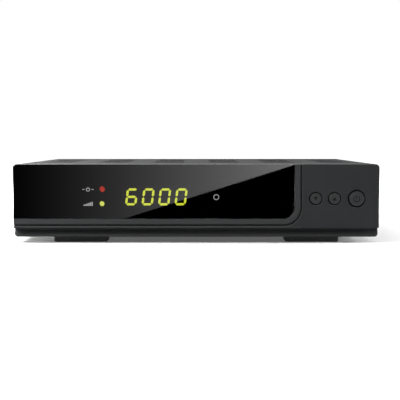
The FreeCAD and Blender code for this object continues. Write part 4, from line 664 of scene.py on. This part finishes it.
class ReceiverSizes(bpy.types.PropertyGroup):
    """Sizes of the pieces that the CAD model leaves out."""

    symbol: bpy.props.FloatProperty(
        name="Symbol", description="Height of a printed symbol", default=2.4 * MM, unit="LENGTH")
    ink_depth: bpy.props.FloatProperty(
        name="Ink", description="Thickness of printed ink", default=0.02 * MM, unit="LENGTH")
    thread_pitch: bpy.props.FloatProperty(
        name="Thread pitch", description="Pitch of the aerial thread", default=0.79 * MM, unit="LENGTH")
    thread_depth: bpy.props.FloatProperty(
        name="Thread depth", description="Depth of the aerial thread", default=0.4 * MM, unit="LENGTH")
    leg_pitch: bpy.props.FloatProperty(
        name="Leg pitch", description="Distance between chip legs", default=0.8 * MM, unit="LENGTH")
    front_wall: bpy.props.FloatProperty(
        name="Front wall", description="Thickness of the moulded front's wall",
        default=1.6 * MM, unit="LENGTH")
    lip_reach: bpy.props.FloatProperty(
        name="Lip reach", description="How far the cover's lip goes into the front", default=1.5 * MM,
        unit="LENGTH")
    lip_sheet: bpy.props.FloatProperty(
        name="Lip sheet", description="Thickness of the cover's lip", default=0.6 * MM, unit="LENGTH")
    small_parts: bpy.props.IntProperty(
        name="Small parts", description="How many small parts the main board gets", default=110)


class ReceiverStudio(bpy.types.PropertyGroup):
    """Camera, floor and lamps."""

    distance: bpy.props.FloatProperty(
        name="Distance", description="From the camera to the front", default=0.55, unit="LENGTH")
    height: bpy.props.FloatProperty(
        name="Height", description="Height of the camera", default=0.0616, unit="LENGTH")
    aside: bpy.props.FloatProperty(
        name="Aside", description="Camera's place across the front", default=0.0023, unit="LENGTH")
    pitch: bpy.props.FloatProperty(
        name="Pitch", description="How far the camera looks down",
        default=math.radians(3.69), subtype="ANGLE")
    lens: bpy.props.FloatProperty(name="Lens", description="Focal length in millimetres", default=82.56)
    key_power: bpy.props.FloatProperty(name="Key lamp", description="Power of the large lamp", default=6.0)
    ambient: bpy.props.FloatProperty(name="Ambient", description="Light from all round", default=0.37)
    card_away: bpy.props.FloatProperty(
        name="Card", description="From the front to the card that the window mirrors",
        default=0.165, unit="LENGTH")


# Operators


class RECEIVER_OT_front(bpy.types.Operator):
    """Finish the moulded front, the band, the window, its mask and the buttons"""

    bl_idname = "receiver.front"
    bl_label = "Front"

    def execute(self, context):
        dress(
            "front_panel", "window_bezel", "display_window", "window_mask", "button_down", "button_up",
            "button_power", "button_guide", "plunger_down", "plunger_up", "plunger_power", "press_switches",
        )
        return {"FINISHED"}


class RECEIVER_OT_display(bpy.types.Operator):
    """Light the digits and the two lamps, and finish what carries them"""

    bl_idname = "receiver.display"
    bl_label = "Display"

    def execute(self, context):
        dress("front_board", "display_module", "display_segments", "power_led", "signal_led",
              "infrared_receiver")
        return {"FINISHED"}


class RECEIVER_OT_window_marks(bpy.types.Operator):
    """Print a standby ring, signal bars and the receiver ring on the window"""

    bl_idname = "receiver.window_marks"
    bl_label = "Window Marks"

    def execute(self, context):
        sizes = context.scene.receiver_sizes
        thick, high = sizes.ink_depth, sizes.symbol
        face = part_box("display_window")[0].y - thick / 2
        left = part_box("power_led")[0].x - 6.4 * MM
        line = high * 0.13

        form = bmesh.new()
        centre = Vector((left, face, centre_of("power_led").z))
        arc_band(form, high / 2 - line, high / 2, thick, 300, 120, centre, FACING_FRONT)
        plate(form, line, high * 0.5, thick, centre + Vector((0, 0, high * 0.3)), FACING_FRONT)
        for side in (-1, 1):
            plate(form, high * 0.5, line, thick, centre + Vector((side * high * 1.15, 0, 0)), FACING_FRONT)
        keep_piece("standby_mark", form, "window_acrylic", look="white_ink")

        form = bmesh.new()
        level = centre_of("signal_led").z - high / 2
        for step in range(5):
            tall = high * (0.28 + 0.18 * step)
            place = (left + (step - 2) * high * 0.5, face, level + tall / 2)
            plate(form, high * 0.28, tall, thick, place, FACING_FRONT)
        keep_piece("signal_mark", form, "window_acrylic", look="white_ink")

        form = bmesh.new()
        eye = centre_of("infrared_receiver")
        arc_band(form, high * 0.56, high * 0.7, thick, 360, 0, (eye.x, face, eye.z), FACING_FRONT, 40)
        keep_piece("receiver_mark", form, "window_acrylic", look="white_ink")
        return {"FINISHED"}


class RECEIVER_OT_case(bpy.types.Operator):
    """Finish the cover, tray, rear panel, feet and screws"""

    bl_idname = "receiver.case"
    bl_label = "Case"

    def execute(self, context):
        dress(
            "top_cover", "chassis_tray", "rear_panel", "foot_front_left", "foot_front_right",
            "foot_rear_left", "foot_rear_right", "cover_screws", "rear_screws", "board_screws",
            "tapping_screws", "standoffs",
        )
        return {"FINISHED"}


class RECEIVER_OT_cover_lip(bpy.types.Operator):
    """Add the cover's lip, which goes into the front and closes the seam between them"""

    bl_idname = "receiver.cover_lip"
    bl_label = "Cover Lip"

    def execute(self, context):
        sizes = context.scene.receiver_sizes
        front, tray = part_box("front_panel"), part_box("chassis_tray")
        clear, above_tray, short_of_cover = 0.2 * MM, 1 * MM, 0.05 * MM
        reach, top = (edge - sizes.front_wall - clear for edge in (front[1].x, front[1].z))
        start, end = front[1].y - sizes.lip_reach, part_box("top_cover")[0].y - short_of_cover
        foot, sheet = tray[0].z + above_tray, sizes.lip_sheet
        form = bmesh.new()
        rings = []
        for side, outer, inner in ((-1, foot, foot), (-1, top, top - sheet), (1, top, top - sheet),
                                   (1, foot, foot)):
            corners = ((reach, start, outer), (reach, end, outer), (reach - sheet, end, inner),
                       (reach - sheet, start, inner))
            rings.append([form.verts.new((side * x, y, z)) for x, y, z in corners])
        for ring, after in zip(rings, rings[1:]):
            for n in range(4):
                form.faces.new((ring[n - 1], ring[n], after[n], after[n - 1]))
        for ring in (rings[0], rings[-1]):
            form.faces.new(ring)
        keep_piece("cover_lip", form, "cover_paint")
        return {"FINISHED"}


class RECEIVER_OT_sockets(bpy.types.Operator):
    """Finish the sockets, the mains inlet and its switch"""

    bl_idname = "receiver.sockets"
    bl_label = "Sockets"

    def execute(self, context):
        dress(
            "tuner_can", "rf_connectors", "rf_nuts", "video_data_socket", "socket_insulators", "scart_socket",
            "rca_housing", "rca_rings", "rca_video_insert", "rca_left_insert", "rca_right_insert",
            "rca_digital_insert", "mains_inlet", "mains_pins", "switch_housing", "power_rocker",
        )
        return {"FINISHED"}


class RECEIVER_OT_aerial_threads(bpy.types.Operator):
    """Put a screw thread on the two aerial sockets"""

    bl_idname = "receiver.aerial_threads"
    bl_label = "Aerial Threads"

    def execute(self, context):
        sizes = context.scene.receiver_sizes
        low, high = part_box("rf_connectors")
        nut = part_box("rf_nuts")[1].y - low.y
        long, radius = high.y - low.y, (high.z - low.z) / 2
        root = radius - sizes.thread_depth
        chamfer, mouth, bore, deep = 0.3 * MM, 3.2 * MM, 3.1 * MM, 5 * MM
        form = bmesh.new()
        for side in (low.x + radius, high.x - radius):
            profile = [
                (0, 0), (root, 0), (root, long - chamfer), (root - chamfer, long), (mouth, long),
                (bore, long - 0.1 * MM), (bore, long - deep), (0, long - deep),
            ]
            place = (side, low.y, (low.z + high.z) / 2)
            lathe(form, profile, place, FACING_REAR, 40)
            before = set(form.verts)
            base = nut + 0.2 * MM
            half = sizes.thread_pitch * 0.46
            turns = int((long - chamfer - base - 2 * half) / sizes.thread_pitch)
            points = [(root - 0.05 * MM, base), (radius, base + half), (root - 0.05 * MM, base + 2 * half)]
            face = form.faces.new([form.verts.new((x, 0, z)) for x, z in points])
            steps = 30 * turns
            bmesh.ops.spin(
                form, geom=[face, *face.edges, *face.verts], cent=(0, 0, 0), axis=(0, 0, 1),
                angle=math.tau * turns, steps=steps,
                dvec=(0, 0, sizes.thread_pitch * turns / steps), use_duplicate=False,
            )
            moved(form, added(form, before), place, FACING_REAR)
        piece = keep_piece("aerial_threads", form, "nickel")
        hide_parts("rf_connectors")
        return {"FINISHED"}


class RECEIVER_OT_rocker_marks(bpy.types.Operator):
    """Print the plain line and ring of on and off on the rocker"""

    bl_idname = "receiver.rocker_marks"
    bl_label = "Rocker Marks"

    def execute(self, context):
        rocker = frame["nodes"]["power_rocker"].data
        faces, outer, deep = {}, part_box("power_rocker")[1].y, 4 * MM
        facing, tipped, level = 0.9, -0.2, 0.01
        for side in (-1, 1):
            flat = [p for p in rocker.polygons if p.normal.y > facing and p.center.y > outer - deep and
                    (p.normal.x > tipped) == (side > 0) and abs(p.normal.z) < level]
            area = sum(p.area for p in flat)
            middle = sum((p.center * p.area for p in flat), Vector()) / area
            faces[side] = (middle, flat[0].normal.copy())
        thick = context.scene.receiver_sizes.ink_depth
        line_long, line_wide, hole, ring = 3.4 * MM, 0.45 * MM, 1.15 * MM, 1.6 * MM
        form = bmesh.new()
        for side, (middle, normal) in faces.items():
            turn = normal.to_track_quat("Z", "X").to_matrix().to_4x4()
            place = middle + normal * thick / 2
            if side > 0:
                plate(form, line_long, line_wide, thick, place, turn)
            else:
                arc_band(form, hole, ring, thick, 360, 0, place, turn)
        keep_piece("rocker_marks", form, "black_plastic", body="rocker", look="white_ink")
        return {"FINISHED"}


class RECEIVER_OT_socket_marks(bpy.types.Operator):
    """Print plain numbers and arrows beside the sockets on the rear panel"""

    bl_idname = "receiver.socket_marks"
    bl_label = "Socket Marks"

    def execute(self, context):
        thick = context.scene.receiver_sizes.ink_depth
        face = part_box("rf_nuts")[0].y
        nut, above, arrow, beside = 6.35 * MM, 2.6 * MM, 1.2 * MM, 3.4 * MM
        over_large, over_small, figure_tall = 2.8 * MM, 2.2 * MM, 3.0 * MM
        form = bmesh.new()
        in_x, out_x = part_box("rf_nuts")[1].x - nut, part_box("rf_nuts")[0].x + nut
        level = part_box("rf_nuts")[1].z + above
        for x, side in ((in_x, -1), (out_x, 1)):
            verts = bmesh.ops.create_circle(form, cap_ends=True, radius=arrow, segments=3)["verts"]
            turn = FACING_REAR @ Matrix.Rotation(math.radians(90 * side), 4, "Z")
            moved(form, verts, (x, face + thick, level), turn)
        places = {
            "1": (in_x + beside, level), "2": (out_x + beside, level),
            "3": (centre_of("video_data_socket").x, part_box("video_data_socket")[1].z + over_large),
            "4": (centre_of("scart_socket").x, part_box("scart_socket")[1].z + over_large),
            "5": (centre_of("rca_left_insert").x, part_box("rca_left_insert")[1].z + over_small),
            "6": (centre_of("rca_video_insert").x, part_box("rca_video_insert")[1].z + over_small),
        }
        for figure, (x, z) in places.items():
            curve = bpy.data.curves.new("figure", "FONT")
            curve.body, curve.size, curve.align_x, curve.align_y = figure, figure_tall, "CENTER", "CENTER"
            text = bpy.data.objects.new("figure", curve)
            mesh = bpy.data.meshes.new_from_object(text)
            before = set(form.verts)
            form.from_mesh(mesh)
            turn = Matrix.Rotation(math.radians(180), 4, "Z") @ FACING_FRONT
            moved(form, added(form, before), (x, face + thick, z), turn)
            bpy.data.objects.remove(text)
            bpy.data.curves.remove(curve)
            bpy.data.meshes.remove(mesh)
        keep_piece("socket_marks", form, "rear_paint", look="white_ink")
        return {"FINISHED"}


class RECEIVER_OT_boards(bpy.types.Operator):
    """Finish the boards and the large parts on them"""

    bl_idname = "receiver.boards"
    bl_label = "Boards"

    def execute(self, context):
        dress(
            "main_board", "power_board", "processor", "heat_sink", "memory_chips", "capacitors",
            "transformer", "line_filter", "fuse", "power_heat_sink", "board_headers", "ribbon_cable",
            "power_leads",
        )
        return {"FINISHED"}


class RECEIVER_OT_chip_legs(bpy.types.Operator):
    """Add the gull-wing legs of the memory chips"""

    bl_idname = "receiver.chip_legs"
    bl_label = "Chip Legs"

    def execute(self, context):
        pitch = context.scene.receiver_sizes.leg_pitch
        low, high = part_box("memory_chips")
        chip, step, half_wide, sheet = 9 * MM, 13.5 * MM, 0.16 * MM, 0.12 * MM
        form = bmesh.new()
        for number in range(3):
            middle = low.y + chip / 2 + number * step
            legs = int((chip - pitch) / pitch)
            for leg in range(legs):
                y = middle + (leg - (legs - 1) / 2) * pitch
                for side, x in ((-1, low.x), (1, high.x)):
                    path = [(0, 0.6), (0.35, 0.6), (0.6, 0.08), (1.1, 0.08)]
                    verts = []
                    for out, up in path:
                        verts += [form.verts.new((x + side * out * MM, y + w * half_wide, low.z + up * MM))
                                  for w in (-1, 1)]
                    faces = [form.faces.new((verts[n], verts[n + 1], verts[n + 3], verts[n + 2]))
                             for n in (0, 2, 4)]
                    bmesh.ops.solidify(form, geom=faces, thickness=sheet)
        keep_piece("chip_legs", form, "chip_resin", look="solder")
        return {"FINISHED"}


class RECEIVER_OT_capacitor_tops(bpy.types.Operator):
    """Add the bare scored tops and the pale stripes of the capacitors"""

    bl_idname = "receiver.capacitor_tops"
    bl_label = "Capacitor Tops"

    def execute(self, context):
        low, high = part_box("capacitors")
        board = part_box("power_board")
        large = (board[0].x + 11 * MM, board[0].y + 40 * MM, high.z, 9 * MM)
        small = [(board[0].x + (13 + 12 * n) * MM, board[0].y + 12 * MM, low.z + 18 * MM, 5 * MM)
                 for n in range(3)]
        tops, stripes = bmesh.new(), bmesh.new()
        for x, y, z, radius in (large, *small):
            rim, score_wide, score_deep, end = radius * 0.86, 0.25 * MM, 0.12 * MM, 0.8 * MM
            profile = [(0, 0.05 * MM), (rim * 0.94, 0.05 * MM), (rim, 0.2 * MM), (rim * 1.04, 0.2 * MM),
                       (rim * 1.06, -0.1 * MM), (0, -0.1 * MM)]
            lathe(tops, profile, (x, y, z))
            for turn in (0, 60, 120):
                plate(tops, rim * 1.5, score_wide, score_deep, (x, y, z + 0.08 * MM),
                      Matrix.Rotation(math.radians(turn), 4, "Z"))
            tall = z - low.z - 2 * end
            arc_band(stripes, radius, radius + 0.05 * MM, tall, 50, 200, (x, y, low.z + end + tall / 2),
                     steps=8)
        keep_piece("capacitor_tops", tops, "capacitor_sleeve", look="can_top")
        keep_piece("capacitor_stripes", stripes, "capacitor_sleeve", look="white_insert")
        return {"FINISHED"}


class RECEIVER_OT_small_parts(bpy.types.Operator):
    """Scatter chip resistors, ceramic blocks and small cans in the free space of the main board"""

    bl_idname = "receiver.small_parts"
    bl_label = "Small Parts"

    def execute(self, context):
        low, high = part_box("main_board")
        taken = [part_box(n) for n in ("processor", "memory_chips", "tuner_can", "video_data_socket",
                                     "scart_socket", "rca_housing", "heat_sink")]
        for node in ("board_headers", "board_screws"):
            taken += islands(node)
        chance = random.Random(5)
        ends, dark, pale, cans = bmesh.new(), bmesh.new(), bmesh.new(), bmesh.new()
        radius, can_tall, foot, foot_tall = 2.6 * MM, 5.2 * MM, 5.4 * MM, 0.8 * MM
        part_long, part_wide, end_long, end_wide = 1.3 * MM, 1.2 * MM, 0.45 * MM, 1.26 * MM
        for number in range(context.scene.receiver_sizes.small_parts):
            tall = number % 11 == 0
            reach = (3.2 if tall else 1.5) * MM
            for _ in range(40):
                x = chance.uniform(low.x + reach + MM, high.x - reach - MM)
                y = chance.uniform(low.y + reach + MM, high.y - reach - MM)
                if all(x + reach < a.x or x - reach > b.x or y + reach < a.y or y - reach > b.y
                       for a, b in taken):
                    break
            else:
                continue
            taken.append((Vector((x - reach, y - reach, 0)), Vector((x + reach, y + reach, 0))))
            if tall:
                profile = [(0, 0), (radius, 0), (radius, 4.6 * MM), (radius * 0.9, can_tall), (0, can_tall)]
                lathe(cans, profile, (x, y, high.z), steps=20)
                plate(dark, foot, foot, foot_tall, (x, y, high.z + foot_tall / 2), rounding=0.15 * MM)
                continue
            turn = Matrix.Rotation(math.radians(90 * chance.randrange(2)), 4, "Z")
            thick = (0.5 if number % 2 else 0.95) * MM
            place = Vector((x, y, high.z + thick / 2))
            plate(dark if number % 2 else pale, part_long, part_wide, thick, place, turn)
            for side in (-1, 1):
                tip = place + turn.to_3x3() @ Vector((side * 0.85 * MM, 0, 0))
                plate(ends, end_long, end_wide, thick + 0.04 * MM, tip, turn)
        keep_piece("part_ends", ends, "tin_plate", look="solder")
        keep_piece("chip_resistors", dark, "chip_resin")
        keep_piece("ceramic_blocks", pale, "chip_resin", look="ceramic")
        keep_piece("small_cans", cans, "sink_aluminium", look="can_top")
        return {"FINISHED"}


class RECEIVER_OT_stage(bpy.types.Operator):
    """Set up the pale floor, the card that the window mirrors, the lamps and the camera"""

    bl_idname = "receiver.stage"
    bl_label = "Stage"

    def execute(self, context):
        studio = context.scene.receiver_studio
        make_floor()
        make_card(studio)
        make_world(studio.ambient)
        for name, place, size, share in (
            ("key_lamp", (-0.47, -0.3, 0.5), 0.35, 0.88), ("fill_lamp", (0.9, -0.3, 0.8), 0.7, 0.12),
            ("rear_lamp", (-0.34, 0.55, 0.25), 0.25, 0.42), ("left_lamp", (-0.8, 0.05, 0.12), 0.2, 1.0),
            ("right_lamp", (0.8, 0.0, 0.16), 0.3, 1.6),
        ):
            make_lamp(name, place, size, studio.key_power * share)
        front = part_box("display_window")[0].y
        camera = new_object("camera", bpy.data.cameras.new("camera"))
        camera.location = (studio.aside, front - studio.distance, studio.height)
        camera.rotation_euler = (math.radians(90) - studio.pitch, 0, 0)
        camera.data.lens, camera.data.sensor_width = studio.lens, 36.0
        context.scene.camera = camera
        context.scene.view_settings.view_transform = "Standard"
        return {"FINISHED"}


def islands(node):
    """Boxes of a CAD node's separate solids."""
    form = bmesh.new()
    form.from_mesh(frame["nodes"][node].data)
    bmesh.ops.remove_doubles(form, verts=form.verts, dist=1e-6)
    left, boxes = set(form.verts), []
    while left:
        group, edge = set(), [left.pop()]
        while edge:
            vert = edge.pop()
            group.add(vert)
            for link in vert.link_edges:
                other = link.other_vert(vert)
                if other in left:
                    left.discard(other)
                    edge.append(other)
        places = [v.co for v in group]
        boxes.append((Vector(min(p[i] for p in places) for i in range(3)),
                      Vector(max(p[i] for p in places) for i in range(3))))
    form.free()
    return boxes


def seen_ray(tree):
    """Is 1 for rays from the camera and through or off glass and metal, before any matt surface."""
    path = add(tree, "LightPath").outputs
    both = count(tree, "MAXIMUM", path["Is Camera Ray"], path["Is Glossy Ray"])
    seen = count(tree, "MAXIMUM", both, path["Is Transmission Ray"])
    return times(tree, seen, count(tree, "LESS_THAN", path["Diffuse Depth"], 0.5))


def stage_object(name, form, material):
    """Turn a bmesh into a part of the stage."""
    mesh = new_mesh(name, form)
    mesh.materials.append(material)
    thing = new_object(name, mesh)
    return thing


def make_floor():
    """Wide white floor that still shows the object's shadow, with a soft painted shadow round the receiver.
    """
    material = bpy.data.materials.new("floor_white")
    tree = bare_tree(material)
    point, *_ = place_of(tree)
    seen = seen_ray(tree)
    grey, light_grey, painted_shade_near, far_white = ((tone,) * 3 for tone in (0.21, 0.23, 0.9, 1.8))
    matt = blend_colour(tree, noise(tree, point, 4.0), grey, light_grey)
    away = add(tree, "VectorMath", {0: point}, operation="LENGTH").outputs["Value"]
    # Painted shadow: the floor's white is painted darker near the receiver, half as bright within 0.13 m and
    # full beyond 0.3 m.
    white = blend_colour(tree, spread(tree, away, 0.0, 1.0, 0.13, 0.3), painted_shade_near, far_white)
    paper = add(tree, "BsdfDiffuse", {"Color": blend_colour(tree, seen, matt, white)})
    glow = add(tree, "Emission", {"Strength": times(tree, seen, 0.108)})
    both = add(tree, "AddShader", {0: paper.outputs[0], 1: glow.outputs[0]})
    add(tree, "OutputMaterial", {"Surface": both.outputs[0]})
    form = bmesh.new()
    verts = bmesh.ops.create_grid(form, x_segments=8, y_segments=8, size=4.0)["verts"]
    moved(form, verts, (0, 0, -0.05 * MM))
    stage_object("floor", form, material)


def make_card(studio):
    """Card in front of the receiver that only its gloss sees: dark, with a slanting pale part."""
    share = studio.card_away / studio.distance
    low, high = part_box("display_window")

    def mirrored(x, z):
        return x + (x - studio.aside) * share, z + (z - studio.height) * share

    left, bottom = mirrored(low.x, low.z)
    right, top = mirrored(high.x, high.z)
    bottom = max(bottom, 0.3 * MM)
    front = low.y - studio.card_away
    material = bpy.data.materials.new("card")
    tree = bare_tree(material)
    _, across, _, up = place_of(tree)
    (line_x, line_z), slope = mirrored(-34.9 * MM, 17.4 * MM), 0.3165
    line = count(tree, "MULTIPLY_ADD", count(tree, "SUBTRACT", across, line_x), slope, line_z)
    above = spread(tree, count(tree, "SUBTRACT", up, line), 0.0, 1.0, 0.0, 0.5 * MM, smooth=True)
    tone = spread(tree, across, 0.05, 0.44, left, right)
    falloff, strongest = 2.2, 24.0
    light = times(tree, above, times(tree, count(tree, "POWER", tone, falloff), strongest))
    glow = add(tree, "Emission", {"Strength": light})
    add(tree, "OutputMaterial", {"Surface": glow.outputs[0]})
    form = bmesh.new()
    verts = [form.verts.new((x, front, z)) for x, z in
             ((left, bottom), (right, bottom), (right, top), (left, top))]
    form.faces.new(verts)
    card = stage_object("card", form, material)
    card.visible_camera = card.visible_diffuse = card.visible_shadow = False
    card.visible_volume_scatter = False


def make_world(level):
    """Soft light from above and behind, seen as plain white."""
    world = bpy.data.worlds.new("studio")
    bpy.context.scene.world = world
    tree = bare_tree(world)
    direction = add(tree, "TexCoord").outputs["Generated"]
    lean = Vector((-0.15, 0.35, 0.92))
    facing = add(tree, "VectorMath", {0: direction, 1: lean}, operation="DOT_PRODUCT").outputs["Value"]
    below, above = level * 0.2, level * 2.0
    light = spread(tree, facing, below, above, -0.3, 1.0)
    strength = spread(tree, seen_ray(tree), light, 1.0)
    sky = add(tree, "Background", {"Color": (1.0, 1.0, 1.0, 1.0), "Strength": strength})
    add(tree, "OutputWorld", {"Surface": sky.outputs[0]})


def make_lamp(name, place, size, power):
    """Large soft lamp aimed at the receiver."""
    data = bpy.data.lights.new(name, "AREA")
    data.shape, data.size, data.energy = "SQUARE", size, power
    lamp = new_object(name, data)
    lamp.location = place
    lamp.rotation_euler = (-Vector(place)).to_track_quat("-Z", "Y").to_euler()


OPERATORS = (
    RECEIVER_OT_front, RECEIVER_OT_display, RECEIVER_OT_window_marks, RECEIVER_OT_case, RECEIVER_OT_cover_lip,
    RECEIVER_OT_sockets, RECEIVER_OT_aerial_threads, RECEIVER_OT_rocker_marks, RECEIVER_OT_socket_marks,
    RECEIVER_OT_boards, RECEIVER_OT_chip_legs, RECEIVER_OT_capacitor_tops, RECEIVER_OT_small_parts,
    RECEIVER_OT_stage,
)


class RECEIVER_PT_panel(bpy.types.Panel):
    """Everything that can be set or made"""

    bl_label = "Receiver"
    bl_space_type = "VIEW_3D"
    bl_region_type = "UI"
    bl_category = "Receiver"

    def draw(self, context):
        scene = context.scene
        for group in (scene.receiver_colours, scene.receiver_sizes, scene.receiver_studio):
            box = self.layout.box()
            for name in group.__annotations__:
                box.prop(group, name)
        for operator in OPERATORS:
            self.layout.operator(operator.bl_idname)


GROUPS = {
    "receiver_colours": ReceiverColours,
    "receiver_sizes": ReceiverSizes,
    "receiver_studio": ReceiverStudio,
}


def register():
    """Make the classes and settings known."""
    for kind in (*GROUPS.values(), *OPERATORS, RECEIVER_PT_panel):
        bpy.utils.register_class(kind)
    for name, kind in GROUPS.items():
        setattr(bpy.types.Scene, name, bpy.props.PointerProperty(type=kind))


def unregister():
    """Take the classes and settings away again."""
    for name in GROUPS:
        delattr(bpy.types.Scene, name)
    for kind in reversed((*GROUPS.values(), *OPERATORS, RECEIVER_PT_panel)):
        bpy.utils.unregister_class(kind)


def main():
    """Dress the receiver and set its stage."""
    register()
    for operator in OPERATORS:
        group, name = operator.bl_idname.split(".")
        getattr(getattr(bpy.ops, group), name)()


if __name__ == "__main__":
    main()
